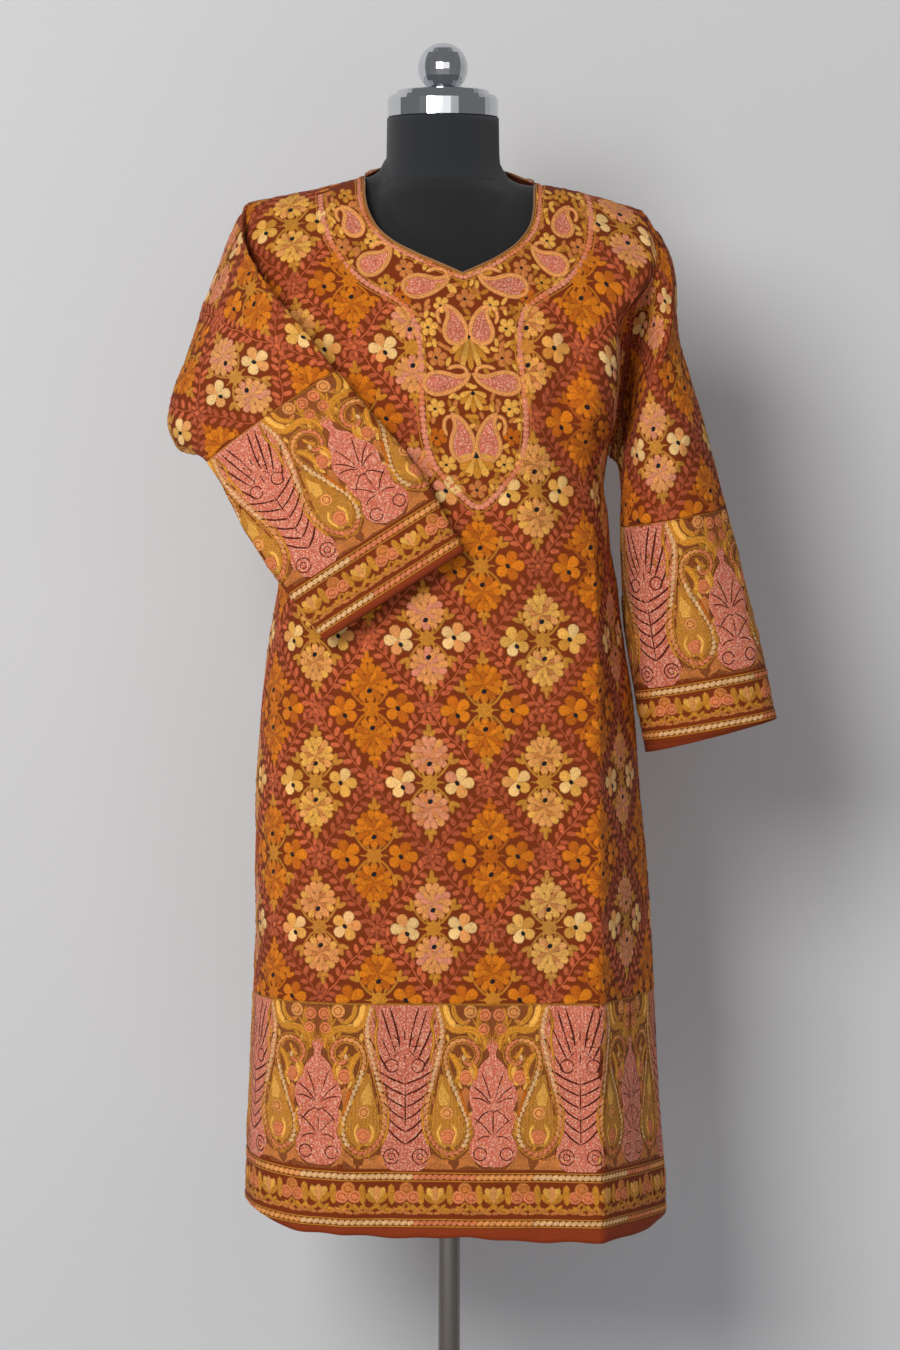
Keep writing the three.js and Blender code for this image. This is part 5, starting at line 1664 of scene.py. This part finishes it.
# What fills it on both sides: a shape, its distance out and height, its width and height, and its tilt
YOKE_SHAPES = [
    ("paisley", 104, 1384, 20, 31, 12), ("paisley", 84, 1344, 22, 38, -62),
    ("paisley", 37, 1320, 22, 47, -82),
    ("paisley", 13.5, 1281, 23, 38, 6), ("fan", 0, 1253, 28, 36, 180), ("paisley", 24, 1225, 22, 45, -84),
    ("fan", 0, 1205, 26, 22, 180), ("paisley", 13.5, 1172, 24, 45, 5), ("fan", 0, 1143, 40, 26, 180),
    ("mellow", 32, 1249, 10, 0, 0), ("amber", 60, 1308, 9, 0, 0), ("mellow", 57, 1336, 9.5, 0, 0),
    ("amber", 36, 1172, 9.5, 0, 0), ("mellow", 0, 1306, 10, 0, 0), ("mellow", 0, 1121, 9.5, 0, 0),
    ("butter", 38, 1278, 9.5, 0, 0), ("butter", 24, 1300, 8.5, 0, 0), ("gold", 76, 1322, 9, 0, 0),
    ("butter", 86, 1364, 8.5, 0, 0), ("mellow", 115, 1358, 9, 0, 0), ("butter", 36, 1200, 9.5, 0, 0),
    ("butter", 28, 1146, 9.5, 0, 0), ("gold", 106, 1410, 8, 0, 0),
]
LEAF_STEP = 5.8
LEAF_CLEARANCE = 2.2


# A curled drop with a pink body and a pale outline, standing on its foot
def yoke_paisley(wide, tall):
    s = Stitches()
    drop = [
        (0.30, 1.0), (0.02, 0.93), (-0.28, 0.72), (-0.46, 0.45), (-0.47, 0.2), (-0.26, 0.03), (0.05, 0),
        (0.34, 0.08), (0.47, 0.28), (0.38, 0.5), (0.22, 0.68), (0.18, 0.84), (0.30, 1.0),
    ]
    outline = curve([(wide * out, tall * up) for out, up in drop], 28)[:-1]
    s.patch(outline, THREAD["pink"], 0.5, 0.0, 1.0, centre=(-wide * 0.04, tall * 0.36))
    s.stroke(np.vstack([outline, outline[:1]]), 4.6, THREAD["peach"], 0.5, 0.35, taper=False)
    hook = [(0.26, 0.97), (0.52, 0.92), (0.64, 0.74), (0.56, 0.54)]
    s.stroke(curve([(wide * out, tall * up) for out, up in hook], 8), 4.0, THREAD["peach"], 0.5, 0.3)
    return s.gather()


# A fan of lobed petals over its foot
def yoke_fan(wide, tall):
    s = Stitches()
    for k in range(7):
        share = (k - 3) / 3
        angle = -share * (1.2 if wide > tall else 0.8)
        length = math.hypot(wide / 2 * math.sin(abs(angle)), tall * math.cos(angle)) * 0.98
        petal = turned(petal_outline(length, wide * 0.26), angle)
        s.patch(petal, THREAD["gold" if k % 2 else "butter"], 0.6, 0.1 * (k % 2))
    s.patch(disc_outline(wide * 0.08, 8, at=(0, 2)), THREAD["black"], 0.5, 0.6, rings=1)
    return s.gather()


# The yoke's outer line from side to side, and on through the points that close it
def yoke_outline(closing=()):
    return np.array([(-out, z) for out, z in YOKE] + YOKE[-2::-1] + list(closing), float)


# From a distance out from the centre line and a height to a place in the front's cut
def yoke_flat(points):
    x = centre_x(points[:, 1]) + points[:, 0]
    return FLAT["front"].at(across_at(x, points[:, 1]), points[:, 1])


# Gold leaves over the ground that the larger shapes leave free
def yoke_leaves(s, line):
    taken = np.vstack(s.flat)
    for v in np.arange(1100, 1416, LEAF_STEP):
        for u in np.arange(-132, 133, LEAF_STEP):
            at = np.array([u, v]) + rng.uniform(-1.8, 1.8, 2)
            clear = np.linalg.norm(taken - at, axis=1).min() > LEAF_CLEARANCE
            if clear and is_inside(line, at[:1], at[1:])[0]:
                outline = leaf_outline(rng.uniform(8, 11), rng.uniform(4.2, 5.2), 0.85) - (0, 4.5)
                tone = THREAD[("gold", "leaf", "mellow", "butter")[rng.integers(4)]] * rng.uniform(0.88, 1.05)
                s.patch(turned(outline, rng.uniform(0, 2 * math.pi), at=at), tone, 0.5, rings=1)


def lay_yoke():
    s = Stitches()
    for shape, out, height, wide, tall, tilt in YOKE_SHAPES:
        for side in (-1, 1) if out else (1,):
            at = np.array([side * out, height])
            turn = -side * math.radians(tilt)
            if shape in ("paisley", "fan"):
                motif = (yoke_paisley if shape == "paisley" else yoke_fan)(wide, tall)
                foot = at - turned([(0, tall / 2)], turn)[0]
                s.place_motif(motif, foot, turn, mirrored=side < 0)
            else:
                blossom(s, at, wide, [shape], rng.uniform(0, 1))
    yoke_leaves(s, yoke_outline(YOKE_NECK))
    s.flat = [yoke_flat(part) for part in s.flat]
    dotted = ["rosy", "rosy", "salmon"]
    s.chain(curve(yoke_flat(yoke_outline()), 120), 7.2, 5.4, dotted, 30, 0.2)
    front = PANELS["front"]
    neck = front.flat[-1, SHOULDER_COLUMNS:SHOULDER_COLUMNS + 2 * NECK_COLUMNS + 1]
    s.chain(neck - left_of(neck) * 3.9, 5.0, 4.6, dotted, 30, 0.2)
    return s.lay("front_yoke", front, keep_all)


yoke_line = yoke_flat(yoke_outline([(90, 1500), (-90, 1500)]))


# Keeps to the field above a border's top, and clips what reaches below it
def field_above(top, without_yoke=False):
    def keep(u, v):
        in_yoke = is_inside(yoke_line, u, v) if without_yoke else np.zeros(len(u), bool)
        return (v > top + 1) & ~in_yoke
    return keep, lambda flat: np.column_stack([flat[:, 0], np.maximum(flat[:, 1], top + 0.5)])


PEACH_HEIGHT = 695.0
LAID_TOP, HANGING_TOP = 213.0, 227.0
BODY_HEIGHTS = [CHAIN_LOW - 8, CHAIN_LOW, CHAIN_HIGH, FIELD_LOW, FIELD_HIGH]
SLEEVE_URN_AT = 42.75


# Where the body's border heights fall on a sleeve
def sleeve_heights(*heights):
    return lambda v: np.interp(v, BODY_HEIGHTS, heights)


front_threads = [
    lay_lattice(
        "front_flowers", PANELS["front"], (-CELL_WIDE / 2, PEACH_HEIGHT), *field_above(FIELD_HIGH, True)),
    lay_border("front_border", PANELS["front"], 0.0),
    lay_yoke(),
]
back_threads = [
    lay_lattice("back_flowers", PANELS["back"], (-CELL_WIDE / 2, PEACH_HEIGHT), *field_above(FIELD_HIGH)),
    lay_border("back_border", PANELS["back"], 0.0),
]
hanging_threads = [
    lay_lattice("hanging_flowers", HANGING, (-10.0, 301.0), *field_above(HANGING_TOP)),
    lay_border("hanging_border", HANGING, SLEEVE_URN_AT, sleeve_heights(9, 17, 58, 64, HANGING_TOP)),
]
laid_threads = [
    lay_lattice("laid_flowers", LAID, (0.0, 262.0), *field_above(LAID_TOP)),
    lay_border("laid_border", LAID, SLEEVE_URN_AT, sleeve_heights(3, 11, 52, 58, LAID_TOP)),
]

# Studio paper: a floor that bends up into a backdrop. Its rows of faces, then its places in metres
PAPER_ROWS = (4, 16, 6)
PAPER_BEND, PAPER_BACK, PAPER_FRONT, PAPER_TOP, PAPER_HALF = 0.14, 0.4, -5.5, 4.0, 4.5
PAPER_DROP = 0.0005


# The paper is clear from behind, so that the object shows from every side
def studio():
    flat_rows, bend_rows, wall_rows = PAPER_ROWS
    bm = bmesh.new()
    bmesh.ops.create_grid(bm, x_segments=2, y_segments=sum(PAPER_ROWS), size=1)
    for k, vertex in enumerate(bm.verts):
        row, column = divmod(k, 3)
        if row <= flat_rows:
            y, z = lerp(PAPER_FRONT, PAPER_BACK - PAPER_BEND, row / flat_rows), 0.0
        elif row <= flat_rows + bend_rows:
            angle = (row - flat_rows) / bend_rows * math.pi / 2
            y, z = PAPER_BACK - PAPER_BEND * (1 - math.sin(angle)), PAPER_BEND * (1 - math.cos(angle))
        else:
            y, z = PAPER_BACK, lerp(PAPER_BEND, PAPER_TOP, (row - flat_rows - bend_rows) / wall_rows)
        vertex.co = (lerp(-PAPER_HALF, PAPER_HALF, column / 2), y, z - PAPER_DROP)
    for face in bm.faces:
        face.smooth = True
    bm.normal_update()
    if next(iter(bm.faces)).normal.z < 0:
        bmesh.ops.reverse_faces(bm, faces=bm.faces)
    mesh = mesh_from(bm, "studio_floor")
    floor = add_object("studio_floor", mesh)
    material, tree = new_material("studio_paper")
    colour = mix_colour(tree, noise(tree, 1.3, 2.0), paint(214, 215, 217), paint(207, 208, 211))
    paper = node(tree, "BsdfPrincipled", {"Base Color": colour, "Roughness": 0.95})
    clear = node(tree, "BsdfTransparent")
    behind = node(tree, "NewGeometry").outputs["Backfacing"]
    seen = node(tree, "MixShader", {0: behind, 1: paper.outputs[0], 2: clear.outputs[0]})
    node(tree, "OutputMaterial", {"Surface": seen.outputs[0]})
    mesh.materials.append(material)


# Places a lamp or a camera and turns it to its target
def aim(made, place, target):
    made.location = place
    made.rotation_euler = (Vector(target) - Vector(place)).to_track_quat("-Z", "Y").to_euler()


def area_light(name, place, target, size, power, colour=(1, 1, 1)):
    lamp = bpy.data.lights.new(name, "AREA")
    lamp.shape = "RECTANGLE"
    lamp.size, lamp.size_y = size
    lamp.energy = power
    lamp.color = colour
    aim(add_object(name, lamp), place, target)


studio()
area_light("key_softbox", (-1.35, -3.6, 2.35), (0, 0, 0.95), (1.5, 1.6), 128, (1.0, 0.985, 0.96))
area_light("front_fill", (0.9, -4.2, 1.5), (0, 0, 0.9), (1.8, 1.8), 11)
world = bpy.data.worlds.new("studio_air")
bpy.context.scene.world = world
world.use_nodes = True
air = world.node_tree.nodes["Background"].inputs
air[0].default_value = paint(198, 199, 202)
air[1].default_value = 0.34

# The camera's eye and aim in metres, its sensor in millimetres, and the height that it sees at the object
EYE = (0.001, -4.2, 1.147)
AIM = (0.001, 0.0, 0.935)
SENSOR = 36
VIEW_HEIGHT = 1.35
camera_data = bpy.data.cameras.new("photo_view")
camera = add_object("photo_view", camera_data)
aim(camera, EYE, AIM)
camera_data.sensor_fit = "VERTICAL"
camera_data.sensor_height = SENSOR
camera_data.lens = SENSOR * (Vector(AIM) - Vector(EYE)).length / VIEW_HEIGHT
camera_data.dof.use_dof = False
camera_data.clip_end = 50
bpy.context.scene.camera = camera
bpy.context.scene.view_settings.view_transform = "Standard"
